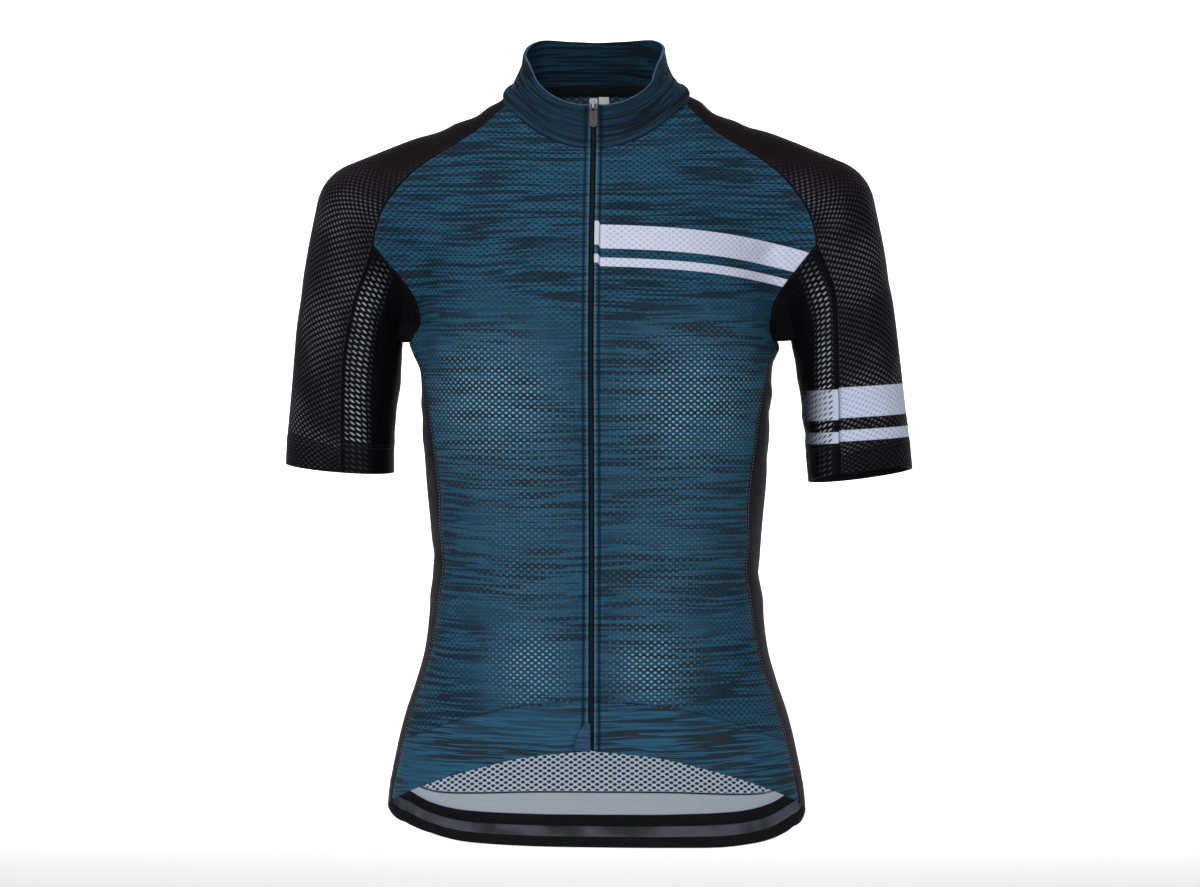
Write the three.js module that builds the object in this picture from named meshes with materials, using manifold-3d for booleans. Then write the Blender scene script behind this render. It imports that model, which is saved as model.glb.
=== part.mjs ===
// A short-sleeved cycling jersey with a full-length zip, as worn, filled out and hollow.
// Sizes in millimetres. X points to the wearer's left, -Y to the front, Z up from the base of the neck.
import * as THREE from 'three';
import { mergeVertices } from 'three/addons/utils/BufferGeometryUtils.js';
import Module from 'manifold-3d';

// Cloth
const CLOTH = 1.2;
const BAND = 1.6;
const DOUBLED = 2.2;
const TURNED_EDGE = 0.8;
const HEM_STEP = 0.3;
const LINING = 1.0;
const STRIP = 0.8;
const SEAM_GAP = 0.3;

// Zip
const CHAIN_HALF = 2.2;
const ZIP_EDGE = 2.6;
const TURNED_TO = 7.0;
const TOPSTITCH = 8.6;
const TAPE_INNER = 0.4;
const TAPE_OUTER = 13;
const TAPE_CLEAR = 0.4;

// Hems, bands and pockets
const SLEEVE_HEM = 26;
const GRIPPER = 26;
const SIDE_BAND = 7;
const STRIP_TALL = 8.5;
const POCKET_SLACK = 3.2;

// Steps along the seams, shared by the panels that meet there
const STEPS = {
  raglan: 8,
  armhole: 5,
  sideTop: 4,
  side: 12,
  sideLow: 2,
  gripper: 2,
  backSide: 13,
  sleeve: 10,
  front: 10,
  cap: 12,
  backHalf: 8,
};

// Body of the jersey: height, half width, front depth, back depth
const TORSO = [
  [-670, 179, 118, 119],
  [-598, 178, 116, 116],
  [-552, 170, 113, 111],
  [-524, 163, 111, 107],
  [-497, 154, 109, 102],
  [-470, 146.5, 107, 97],
  [-433, 142, 104, 90],
  [-400, 139.5, 102, 86],
  [-370, 141, 102, 85],
  [-326, 145, 105, 87],
  [-285, 147.5, 110, 91],
  [-246, 149, 115, 95],
  [-215, 150, 117, 98],
  [-180, 149, 113, 98],
  [-140, 142, 104, 94],
  [-100, 127, 90, 86],
  [-70, 114, 77, 77],
  [-46, 102, 66, 68],
  [-20, 88, 57, 59],
  [5, 74, 49, 52],
  [30, 66, 42, 46],
  [70, 56, 34, 38],
];
const SQUARENESS = 2.3;

// Shoulder and sleeve: along X, Y, height, radius
const SLEEVE_LINE = {
  left: [
    [72, 4, -49, 40],
    [108, 2, -61, 43],
    [152, 1, -79.5, 44.3],
    [192, 0, -97, 45],
    [199.5, -1, -134, 45.2],
    [206.5, -2, -174, 45.4],
    [211, -2, -206, 45],
    [214.2, -1, -224, 44],
    [218.2, -1, -258, 43.8],
    [221.8, -2, -292, 44.4],
    [225.5, -3, -330, 44.4],
  ],
  right: [
    [72, 4, -50, 40],
    [108, 2, -62, 43],
    [150, 1, -80, 44.2],
    [194.5, 0, -98.5, 45],
    [201.5, -1, -134, 45.2],
    [208, -2, -174, 45.5],
    [211.5, -2, -206, 45.6],
    [212.6, -1, -224, 46],
    [215.8, -1, -258, 45.6],
    [219.2, 0, -292, 45.6],
    [220, 0, -330, 46.4],
  ],
};
const SLEEVE_DEEPER = 1.04;

// How softly sleeve and body run into each other: height, blend
const BLEND = [
  [-240, 8],
  [-222, 12],
  [-206, 18],
  [-193, 28],
  [-175, 41],
  [-125, 54],
  [-85, 34],
  [-50, 24],
  [20, 20],
];

// Lower end of each sleeve: height at its middle, rise per mm outwards, rise per mm backwards
const CUFF = {
  left: { height: -321, outwards: 0.126, backwards: -0.12 },
  right: { height: -315.5, outwards: 0.088, backwards: 0.05 },
};

// Collar rings from the front round to the back: X, Y, height
const COLLAR_BASE = [
  [0, -65, -46.5],
  [15, -64, -45.5],
  [31, -60, -41],
  [47, -52, -33],
  [62, -38, -21],
  [75, -16, -7],
  [78.5, 3, 4],
  [74, 22, 9],
  [60, 37, 12],
  [34, 47, 14],
  [0, 50, 15],
];
const COLLAR_TOP = [
  [0, -58, -10],
  [12, -57.5, -9.5],
  [25, -54, -6.5],
  [39, -44, 2],
  [51.5, -28, 15],
  [58.5, -10, 28.5],
  [61, 6, 38],
  [59, 22, 46],
  [48, 34, 51.5],
  [25, 40.5, 51],
  [0, 42, 50],
];
const RAGLAN_FRONT_ROW = 5;
const RAGLAN_BACK_ROW = 8;

// Seams seen from the front or the back: X, height
const RAGLAN = {
  front: [
    [75, -7],
    [90, -21],
    [108, -34.5],
    [140, -55],
    [158.5, -70.5],
    [177.5, -96],
    [184.5, -117],
    [185.5, -127],
  ],
  back: [
    [60, 12],
    [80, -14],
    [105, -40],
    [135, -62],
    [158, -82],
    [175, -103],
    [184, -119],
    [186, -127],
  ],
};
const ARMHOLE = [
  [185.5, -127],
  [173, -142.5],
  [159, -161],
  [150.5, -177],
  [148, -192],
  [147, -208],
];
const SLEEVE_SEAM = {
  left: [
    [185.5, -127],
    [195, -148],
    [201.3, -170],
    [203.5, -210],
    [204.5, -250],
    [206, -321],
  ],
  right: [
    [185.5, -127],
    [192, -147],
    [201, -174],
    [210, -219],
    [212, -260],
    [212.5, -317],
  ],
};
const SLEEVE_CREST = [
  [78, 4],
  [112, -20],
  [150, -34],
  [190, -46],
  [234, -85],
  [250, -150],
  [260, -220],
  [268, -316],
];
const CREST_AT_CORNER = 4;

// Side seams: height, depth of the front seam, depth of the back seam
const SIDE_SEAMS = [
  [-600, -35, 38],
  [-561, -38, 40],
  [-500, -41, 42],
  [-434, -46, 44],
  [-391, -49, 46],
  [-330, -54, 47],
  [-270, -49, 42],
  [-240, -39, 34],
  [-208, -26, 23],
];
const ARMPIT = -208;
const ARMPIT_RISE = 8;
const FRONT_SEAM_SIDE = -543;
const GRIPPER_SEAM_SIDE = -569;
const HEM_SIDE = -595;
const BACK_SEAM_SIDE = -588;

// Lines across the front and the back: X, height
const FRONT_BAND_SEAM = [
  [0, -504],
  [54, -509],
  [90, -516],
  [117, -524],
  [161, -543],
];
const FRONT_HEM = [
  [0, -545],
  [54, -551],
  [90, -560],
  [124, -571],
  [156, -585],
  [173, -595],
];
const BACK_SEAM = [
  [0, -607],
  [60, -606],
  [120, -600],
  [168, -588],
];
const GRIPPER_TOP = [
  [0, -628.5],
  [60, -627.5],
  [120, -622],
  [150, -612],
  [170, -595.5],
];

// Largest folds: from X, Y, height, to X, Y, height, width, rise
const FOLDS = [
  [128, -62, -372, 70, -92, -386, 15, 2.6],
  [130, -60, -404, 84, -88, -412, 13, -2.4],
  [-128, -62, -362, -78, -90, -380, 15, 2.4],
  [-130, -60, -398, -88, -86, -404, 13, -2.6],
  [-150, -60, -178, -96, -100, -206, 14, 2.4],
  [148, -60, -186, 104, -98, -212, 14, 2.2],
  [0, 84, -372, 88, 66, -396, 18, 3.4],
  [0, 84, -350, -92, 66, -378, 18, 3.0],
  [-60, 82, -404, 66, 82, -410, 16, -3.2],
  [170, 30, -180, 128, 74, -214, 16, 2.6],
  [-170, 30, -176, -126, 74, -208, 16, 2.6],
  [182, -36, -232, 176, 30, -238, 10, 2.2],
  [-180, -36, -240, -174, 30, -246, 10, 2.2],
];

const COLOURS = {
  melange: 0x24445a,
  band: 0x26475d,
  collar: 0x22384a,
  black: 0x232227,
  coarse: 0x2b2a2f,
  gripper: 0x1c1b1e,
  strip: 0x464a54,
  tape: 0x16181d,
  label: 0xe6e6e4,
  guard: 0x3b5061,
  metal: 0xb9bcc0,
  pull: 0x3a3733,
};

const jersey = new THREE.Group();
jersey.name = 'cycling_jersey';

// A smooth line through table rows that start with an increasing key
function smoothTable(rows) {
  const last = rows.length - 1;
  const rate = (i, j, c) => (rows[j][c] - rows[i][c]) / (rows[j][0] - rows[i][0]);
  const tilt = (i, c) => {
    if (i === 0) return rate(0, 1, c);
    if (i === last) return rate(last - 1, last, c);
    return rate(i - 1, i + 1, c);
  };
  return (key) => {
    let i = 0;
    while (i < last - 1 && rows[i + 1][0] < key) i += 1;
    const span = rows[i + 1][0] - rows[i][0];
    const t = THREE.MathUtils.clamp((key - rows[i][0]) / span, 0, 1);
    const near = (1 + 2 * t) * (1 - t) * (1 - t);
    const rise = t * (1 - t) * (1 - t) * span;
    const fall = t * t * (t - 1) * span;
    const values = [];
    for (let c = 1; c < rows[0].length; c += 1) {
      const ends = near * rows[i][c] + (1 - near) * rows[i + 1][c];
      values.push(ends + rise * tilt(i, c) + fall * tilt(i + 1, c));
    }
    return values;
  };
}

// Steps along the smooth line through rows, between two of the rows
function trace(rows, steps, from = 0, to = rows.length - 1, spacing = (share) => share) {
  const keyed = [];
  let run = 0;
  rows.forEach((row, i) => {
    if (i > 0) run += Math.hypot(...row.map((value, c) => value - rows[i - 1][c]));
    keyed.push([run, ...row]);
  });
  const line = smoothTable(keyed);
  const start = keyed[from][0];
  const length = keyed[to][0] - start;
  return Array.from({ length: steps + 1 }, (_, i) => line(start + length * spacing(i / steps)));
}

// The surface that the cloth follows, below zero inside
const torsoAt = smoothTable(TORSO);
const blendAt = smoothTable(BLEND);

function torsoDistance(x, y, z) {
  const [halfWidth, front, back] = torsoAt(z);
  const depth = y < 0 ? front : back;
  const across = Math.abs(x / halfWidth) ** SQUARENESS;
  const along = Math.abs(y / depth) ** SQUARENESS;
  const reach = Math.max((across + along) ** (1 / SQUARENESS), 0.05);
  return Math.hypot(x, y) * (1 - 1 / reach);
}

function sleeveDistance(line, x, y, z) {
  let nearest = Infinity;
  for (let i = 1; i < line.length; i += 1) {
    const [ax, ay, az, ar] = line[i - 1];
    const [bx, by, bz, br] = line[i];
    const [dx, dy, dz] = [bx - ax, by - ay, bz - az];
    const along = (x - ax) * dx + (y - ay) * dy + (z - az) * dz;
    const t = THREE.MathUtils.clamp(along / (dx * dx + dy * dy + dz * dz), 0, 1);
    const away = Math.hypot(x - ax - t * dx, (y - ay - t * dy) / SLEEVE_DEEPER, z - az - t * dz);
    nearest = Math.min(nearest, away - ar - t * (br - ar));
  }
  return nearest;
}

function foldHeight(x, y, z) {
  let height = 0;
  for (const [ax, ay, az, bx, by, bz, width, rise] of FOLDS) {
    const [dx, dy, dz] = [bx - ax, by - ay, bz - az];
    const along = (x - ax) * dx + (y - ay) * dy + (z - az) * dz;
    const t = THREE.MathUtils.clamp(along / (dx * dx + dy * dy + dz * dz), 0, 1);
    const away = Math.hypot(x - ax - t * dx, y - ay - t * dy, z - az - t * dz) / width;
    height += rise * Math.exp(-away * away);
  }
  return height;
}

function clothDistance(x, y, z) {
  const body = torsoDistance(x, y, z);
  const sleeve = sleeveDistance(x < 0 ? SLEEVE_LINE.right : SLEEVE_LINE.left, Math.abs(x), y, z);
  const blend = blendAt(z)[0];
  const overlap = Math.max(blend - Math.abs(body - sleeve), 0) / blend;
  return Math.min(body, sleeve) - (overlap * overlap * blend) / 4 - foldHeight(x, y, z);
}

function slopeOf(distance, p) {
  const h = 0.4;
  return new THREE.Vector3(
    distance(p.x + h, p.y, p.z) - distance(p.x - h, p.y, p.z),
    distance(p.x, p.y + h, p.z) - distance(p.x, p.y - h, p.z),
    distance(p.x, p.y, p.z + h) - distance(p.x, p.y, p.z - h),
  ).divideScalar(2 * h);
}

// A point moved onto a surface along that surface's own slope
function settleOn(p, distance) {
  const q = p.clone();
  for (let i = 0; i < 12; i += 1) {
    const slope = slopeOf(distance, q);
    q.addScaledVector(slope, -distance(q.x, q.y, q.z) / Math.max(slope.lengthSq(), 0.2));
  }
  return q;
}
const settle = (p) => settleOn(p, clothDistance);

// From a point inside the jersey out to its cloth
function castOut(from, direction) {
  const way = direction.clone().normalize();
  const at = (t) => from.clone().addScaledVector(way, t);
  const outside = (t) => {
    const p = at(t);
    return clothDistance(p.x, p.y, p.z) > 0;
  };
  let far = 2;
  while (!outside(far) && far < 260) far += 3;
  let near = far - 3;
  for (let i = 0; i < 24; i += 1) {
    const middle = (near + far) / 2;
    if (outside(middle)) far = middle;
    else near = middle;
  }
  return at(far);
}

const FROM_X = 60;
const FRONTWARDS = new THREE.Vector3(0, -1, 0);
const BACKWARDS = new THREE.Vector3(0, 1, 0);
const fromFront = (x, z) => castOut(new THREE.Vector3(x, 0, z), FRONTWARDS);
const fromBack = (x, z) => castOut(new THREE.Vector3(x, 0, z), BACKWARDS);
const fromSide = (side, y, z) => castOut(new THREE.Vector3(side * FROM_X, y, z), new THREE.Vector3(side, 0, 0));

// Rows of points between four edges that share their corners
function fill(top, bottom, start, end) {
  const rows = [];
  for (let j = 0; j < start.length; j += 1) {
    const v = j / (start.length - 1);
    const row = [];
    for (let i = 0; i < top.length; i += 1) {
      const u = i / (top.length - 1);
      const p = new THREE.Vector3();
      p.addScaledVector(top[i], 1 - v).addScaledVector(bottom[i], v);
      p.addScaledVector(start[j], 1 - u).addScaledVector(end[j], u);
      p.addScaledVector(top[0], -(1 - u) * (1 - v)).addScaledVector(top[top.length - 1], -u * (1 - v));
      p.addScaledVector(bottom[0], -(1 - u) * v).addScaledVector(bottom[top.length - 1], -u * v);
      row.push(p);
    }
    rows.push(row);
  }
  return rows;
}

// Inner points of a filled net, moved onto the cloth's surface
function onCloth(rows, move) {
  return rows.map((row, j) => row.map((p, i) => {
    const rim = i === 0 || j === 0 || i === row.length - 1 || j === rows.length - 1;
    return rim ? p : move(p);
  }));
}

// Outward direction of the cloth at each point of a net
function outwards(rows) {
  return rows.map((row) => row.map((p) => slopeOf(clothDistance, p).normalize()));
}

// The net with its rim pulled in, so that neighbours keep the seam gap
function pulledIn(rows) {
  const half = SEAM_GAP / 2;
  const step = (from, to) => to.clone().sub(from).setLength(half);
  const lastRow = rows.length - 1;
  const lastColumn = rows[0].length - 1;
  return rows.map((row, j) => row.map((p, i) => {
    const q = p.clone();
    if (j === 0) q.add(step(p, rows[1][i]));
    if (j === lastRow) q.add(step(p, rows[lastRow - 1][i]));
    if (i === 0) q.add(step(p, row[1]));
    if (i === lastColumn) q.add(step(p, row[lastColumn - 1]));
    return q;
  }));
}

// A closed wall between a net's outer and inner points
function wall(rows, normals, thickness, lift = () => 0) {
  const columns = rows[0].length;
  const count = rows.length * columns;
  const points = [];
  const addLayer = (offset) => rows.forEach((row, j) => row.forEach((p, i) => {
    const q = p.clone().addScaledVector(normals[j][i], offset(j, i));
    points.push(q.x, q.y, q.z);
  }));
  addLayer((j, i) => lift(j, i));
  addLayer((j, i) => lift(j, i) - thickness(j, i));
  const triangles = [];
  const quad = (a, b, c, d) => triangles.push(a, b, c, a, c, d);
  const at = (j, i) => j * columns + i;
  const low = (j, i) => count + j * columns + i;
  const lastRow = rows.length - 1;
  const lastColumn = columns - 1;
  for (let j = 0; j < lastRow; j += 1) {
    for (let i = 0; i < lastColumn; i += 1) {
      quad(at(j, i), at(j + 1, i), at(j + 1, i + 1), at(j, i + 1));
      quad(low(j, i), low(j, i + 1), low(j + 1, i + 1), low(j + 1, i));
    }
    quad(at(j, 0), low(j, 0), low(j + 1, 0), at(j + 1, 0));
    quad(at(j, lastColumn), at(j + 1, lastColumn), low(j + 1, lastColumn), low(j, lastColumn));
  }
  for (let i = 0; i < lastColumn; i += 1) {
    quad(at(0, i), at(0, i + 1), low(0, i + 1), low(0, i));
    quad(at(lastRow, i), low(lastRow, i), low(lastRow, i + 1), at(lastRow, i + 1));
  }
  return closedGeometry(points, triangles);
}

// Turned inside out if need be, so that its faces point outwards
function closedGeometry(points, triangles) {
  let volume = 0;
  const corner = (i) => new THREE.Vector3().fromArray(points, 3 * i);
  for (let i = 0; i < triangles.length; i += 3) {
    const [a, b, c] = triangles.slice(i, i + 3).map(corner);
    volume += a.dot(b.cross(c));
  }
  const geometry = new THREE.BufferGeometry();
  geometry.setAttribute('position', new THREE.Float32BufferAttribute(points, 3));
  geometry.setIndex(volume < 0 ? triangles.reverse() : triangles);
  geometry.computeVertexNormals();
  return geometry;
}

function addPiece(name, geometry, colour, roughness = 0.85, metalness = 0) {
  const material = new THREE.MeshStandardMaterial({ color: colour, roughness, metalness });
  const mesh = new THREE.Mesh(geometry, material);
  mesh.name = name;
  jersey.add(mesh);
  return mesh;
}

const even = (amount) => () => amount;
const joinLines = (...lines) => lines.reduce((all, line) => [...all, ...line.slice(1)]);

// Even rows down to the sleeve hem's stitching, then the hem's own rows
const HEM_ROWS = 2;
const hemSpacing = (length) => (share) => {
  const upper = 1 - HEM_ROWS / STEPS.sleeve;
  const hemFrom = 1 - SLEEVE_HEM / length;
  if (share <= upper) return (share / upper) * hemFrom;
  return hemFrom + ((share - upper) / (1 - upper)) * (1 - hemFrom);
};

// Seams and panels of one side; side is 1 for the wearer's left and -1 for the right
function sideSeams(side) {
  const name = side > 0 ? 'left' : 'right';
  const mirrored = (rows) => rows.map(([x, y, z]) => new THREE.Vector3(side * x, y, z));
  const base = mirrored(COLLAR_BASE);
  base[0].x = side * ZIP_EDGE;
  const rows = base.map((p) => p.toArray());
  const ring = (steps, from, to) => trace(rows, steps, from, to).map((p) => settle(new THREE.Vector3(...p)));
  const frontFine = trace(rows, STEPS.front - 2, 0, RAGLAN_FRONT_ROW);
  const zipRows = [ZIP_EDGE, TURNED_TO, TOPSTITCH].map((x) => [side * x, COLLAR_BASE[0][1], COLLAR_BASE[0][2]]);
  const neckFront = [...zipRows, ...frontFine.slice(1)].map((p) => settle(new THREE.Vector3(...p)));
  const neckCap = ring(STEPS.cap, RAGLAN_FRONT_ROW, RAGLAN_BACK_ROW);
  const neckBack = ring(STEPS.backHalf, RAGLAN_BACK_ROW, rows.length - 1);
  neckCap[0] = neckFront[STEPS.front].clone();
  neckBack[0] = neckCap[STEPS.cap].clone();

  const raglanFront = trace(RAGLAN.front, STEPS.raglan).map(([x, z]) => fromFront(side * x, z));
  const raglanBack = trace(RAGLAN.back, STEPS.raglan).map(([x, z]) => fromBack(side * x, z));
  raglanFront[0] = neckFront[STEPS.front].clone();
  raglanBack[0] = neckBack[0].clone();

  const seamAt = smoothTable(SIDE_SEAMS);
  const heights = (from, to, steps) => Array.from({ length: steps + 1 }, (_, i) => from + ((to - from) * i) / steps);
  const frontSide = (z) => fromSide(side, seamAt(z)[0], z);
  const backSide = (z) => fromSide(side, seamAt(z)[1], z);
  const sideFront = heights(ARMPIT, FRONT_SEAM_SIDE, STEPS.side).map(frontSide);
  const sideFrontLow = heights(FRONT_SEAM_SIDE, GRIPPER_SEAM_SIDE, STEPS.sideLow).map(frontSide);
  const sideFrontHem = heights(GRIPPER_SEAM_SIDE, HEM_SIDE, STEPS.gripper).map(frontSide);
  const sideBack = heights(ARMPIT, BACK_SEAM_SIDE, STEPS.backSide).map(backSide);
  const sideBackLow = [backSide(BACK_SEAM_SIDE), backSide(BACK_SEAM_SIDE - SIDE_BAND)];

  const armholeFront = trace(ARMHOLE, STEPS.armhole).map(([x, z]) => fromFront(side * x, z));
  const armholeBack = trace(ARMHOLE, STEPS.armhole).map(([x, z]) => fromBack(side * x, z));
  armholeFront[0] = raglanFront[STEPS.raglan].clone();
  armholeBack[0] = raglanBack[STEPS.raglan].clone();
  armholeFront[STEPS.armhole] = sideFront[0].clone();
  armholeBack[STEPS.armhole] = sideBack[0].clone();
  const sideTop = heights(seamAt(ARMPIT)[0], seamAt(ARMPIT)[1], STEPS.sideTop)
    .map((y, i) => fromSide(side, y, ARMPIT + ARMPIT_RISE * Math.sin((Math.PI * i) / STEPS.sideTop)));

  const cuff = CUFF[name];
  const line = SLEEVE_LINE[name];
  const [cuffX, cuffY] = smoothTable(line.slice(3).map(([x, y, z]) => [-z, x, y]))(-cuff.height);
  const middle = new THREE.Vector3(side * cuffX, cuffY, cuff.height);
  const onCuff = (x, y) => new THREE.Vector3(side * x, y, x * cuff.outwards + y * cuff.backwards);
  const seamEnd = (SLEEVE_SEAM[name].at(-1)[0] - cuffX) / line.at(-1)[3];
  const turn = Math.acos(seamEnd);
  const cuffArc = (from, to, steps) => Array.from({ length: steps + 1 }, (_, i) => {
    const angle = from + ((to - from) * i) / steps;
    return castOut(middle, onCuff(Math.cos(angle), Math.sin(angle)));
  });
  const cuffOuter = cuffArc(-turn, turn, STEPS.cap);
  const underSteps = 2 * STEPS.armhole + STEPS.sideTop;
  const cuffInner = cuffArc(-turn, turn - 2 * Math.PI, underSteps);
  cuffInner[underSteps] = cuffOuter[STEPS.cap].clone();
  cuffInner[0] = cuffOuter[0].clone();

  const seamLength = SLEEVE_SEAM[name][0][1] - SLEEVE_SEAM[name].at(-1)[1];
  const seamLine = trace(SLEEVE_SEAM[name], STEPS.sleeve, 0, undefined, hemSpacing(seamLength));
  const sleeveFront = seamLine.map(([x, z]) => fromFront(side * x, z));
  const sleeveBack = seamLine.map(([x, z]) => fromBack(side * x, z));
  sleeveFront[0] = raglanFront[STEPS.raglan].clone();
  sleeveBack[0] = raglanBack[STEPS.raglan].clone();
  sleeveFront[STEPS.sleeve] = cuffOuter[0].clone();
  sleeveBack[STEPS.sleeve] = cuffOuter[STEPS.cap].clone();

  return {
    side, name, neckFront, neckCap, neckBack, raglanFront, raglanBack, armholeFront, armholeBack, sideTop,
    sideFront, sideFrontLow, sideFrontHem, sideBack, sideBackLow, cuffOuter, cuffInner, sleeveFront, sleeveBack,
  };
}

const seams = { left: sideSeams(1), right: sideSeams(-1) };

// Line across the front at a table's heights, from the zip to the side seam
function acrossFront(side, table, corner) {
  const fine = trace([...table.slice(0, -1), [Math.abs(corner.x), corner.z]], STEPS.front - 2);
  const edge = [ZIP_EDGE, TURNED_TO, TOPSTITCH].map((x) => [x, fine[0][1] - 0.0003 * x * x]);
  const points = [...edge, ...fine.slice(1)].map(([x, z]) => fromFront(side * x, z));
  points[STEPS.front] = corner.clone();
  return points;
}

// Fronts: from the zip to the raglan, armhole and side seams, with the zip edge turned under
const fronts = {};
for (const half of Object.values(seams)) {
  const { side, name } = half;
  const sideEdge = joinLines(half.raglanFront, half.armholeFront, half.sideFront);
  const bandSeam = acrossFront(side, FRONT_BAND_SEAM, sideEdge.at(-1));
  const hem = acrossFront(side, FRONT_HEM, half.sideFrontHem.at(-1));
  const zipEdge = sideEdge.map((p, j) => {
    const v = j / (sideEdge.length - 1);
    const [highest, lowest] = [half.neckFront[0].z, bandSeam[0].z];
    const followed = highest + ((p.z - sideEdge[0].z) / (sideEdge.at(-1).z - sideEdge[0].z)) * (lowest - highest);
    const z = THREE.MathUtils.lerp(followed, highest + v * (lowest - highest), 0.6);
    return fromFront(side * ZIP_EDGE, z);
  });
  zipEdge[0] = half.neckFront[0].clone();
  zipEdge[zipEdge.length - 1] = bandSeam[0].clone();
  const keepX = (p) => fromFront(p.x, p.z);
  const net = onCloth(fill(half.neckFront, bandSeam, zipEdge, sideEdge), keepX);
  net.forEach((row, j) => {
    if (j === 0 || j === net.length - 1) return;
    row[1] = fromFront(side * TURNED_TO, row[0].z);
    row[2] = fromFront(side * TOPSTITCH, row[0].z);
  });
  const lift = (j, i) => (i < 2 ? TURNED_EDGE : 0);
  const thick = (j, i) => CLOTH + lift(j, i);
  addPiece(`front_${name}`, wall(pulledIn(net), outwards(net), thick, lift), COLOURS.melange);

  const bandEdge = joinLines(half.sideFrontLow, half.sideFrontHem);
  const bandZip = bandEdge.map((p, j) => {
    const v = j / (bandEdge.length - 1);
    return fromFront(side * ZIP_EDGE, THREE.MathUtils.lerp(bandSeam[0].z, hem[0].z, v));
  });
  bandZip[0] = bandSeam[0].clone();
  bandZip[bandZip.length - 1] = hem[0].clone();
  const band = onCloth(fill(bandSeam, hem, bandZip, bandEdge), keepX);
  const bandThick = (j, i) => BAND + lift(j, i);
  addPiece(`front_band_${name}`, wall(pulledIn(band), outwards(band), bandThick, lift), COLOURS.band);
  fronts[name] = { net, band };
}

// Back: one piece between the two raglan, armhole and side seams, with its hem band below
const { left, right } = seams;
const acrossBack = (start, end) => [...start, ...end.slice(0, -1).reverse()];
const backHalf = (side, table, corner) => {
  const rows = [...table.slice(0, -1), [Math.abs(corner.x), corner.z]];
  const points = trace(rows, STEPS.backHalf).map(([x, z]) => fromBack(side * x, z)).reverse();
  points[0] = corner.clone();
  return points;
};
const backEdge = (half) => joinLines(half.raglanBack, half.armholeBack, half.sideBack);
const backTop = acrossBack(left.neckBack, right.neckBack);
const backSeam = acrossBack(
  backHalf(1, BACK_SEAM, left.sideBack.at(-1)),
  backHalf(-1, BACK_SEAM, right.sideBack.at(-1)),
);
const gripperTopBack = acrossBack(
  backHalf(1, GRIPPER_TOP, left.sideBackLow.at(-1)),
  backHalf(-1, GRIPPER_TOP, right.sideBackLow.at(-1)),
);
const keepBack = (p) => fromBack(p.x, p.z);
const backNet = onCloth(fill(backTop, backSeam, backEdge(left), backEdge(right)), keepBack);
addPiece('back', wall(pulledIn(backNet), outwards(backNet), even(CLOTH)), COLOURS.melange);
const backBand = fill(backSeam, gripperTopBack, left.sideBackLow, right.sideBackLow);
addPiece('back_band', wall(pulledIn(backBand), outwards(backBand), even(CLOTH)), COLOURS.band);

// Side panels: from the armpit down to the gripper
const sideBottoms = {};
for (const half of Object.values(seams)) {
  const [front, back] = [half.sideFrontLow.at(-1), half.sideBackLow.at(-1)];
  const bottom = half.sideTop.map((_, i) => {
    const share = i / STEPS.sideTop;
    const y = THREE.MathUtils.lerp(front.y, back.y, share);
    return fromSide(half.side, y, THREE.MathUtils.lerp(front.z, back.z, share));
  });
  bottom[0] = front.clone();
  bottom[STEPS.sideTop] = back.clone();
  const start = joinLines(half.sideFront, half.sideFrontLow);
  const end = joinLines(half.sideBack, half.sideBackLow);
  const keepSide = (p) => fromSide(half.side, p.y, p.z);
  const net = onCloth(fill(half.sideTop, bottom, start, end), keepSide);
  addPiece(`side_${half.name}`, wall(pulledIn(net), outwards(net), even(CLOTH)), COLOURS.black);
  sideBottoms[half.name] = bottom;
}

// Gripper: an elastic round the sides and back, level with the front hem's corners
const gripperTop = joinLines(sideBottoms.left, gripperTopBack, [...sideBottoms.right].reverse());
const dropped = (p, i, depth) => {
  const onSide = i <= STEPS.sideTop || i >= gripperTop.length - 1 - STEPS.sideTop;
  return onSide ? fromSide(Math.sign(p.x), p.y, p.z - depth) : fromBack(p.x, p.z - depth);
};
const gripperRow = (depth) => gripperTop.map((p, i) => dropped(p, i, depth));
const gripperNet = [gripperTop, gripperRow(GRIPPER / 2), gripperRow(GRIPPER)];
for (const [half, column] of [[left, 0], [right, gripperTop.length - 1]]) {
  half.sideFrontHem.forEach((p, j) => {
    gripperNet[j][column] = p.clone();
  });
}
addPiece('gripper', wall(pulledIn(gripperNet), outwards(gripperNet), even(BAND)), COLOURS.gripper);
const stripNet = [gripperRow(STRIP_TALL), gripperRow(2 * STRIP_TALL)].map((row) => row.slice(1, -1));
const stripLift = even(-(BAND + SEAM_GAP));
addPiece('gripper_strip', wall(stripNet, outwards(stripNet), even(STRIP), stripLift), COLOURS.strip);

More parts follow.
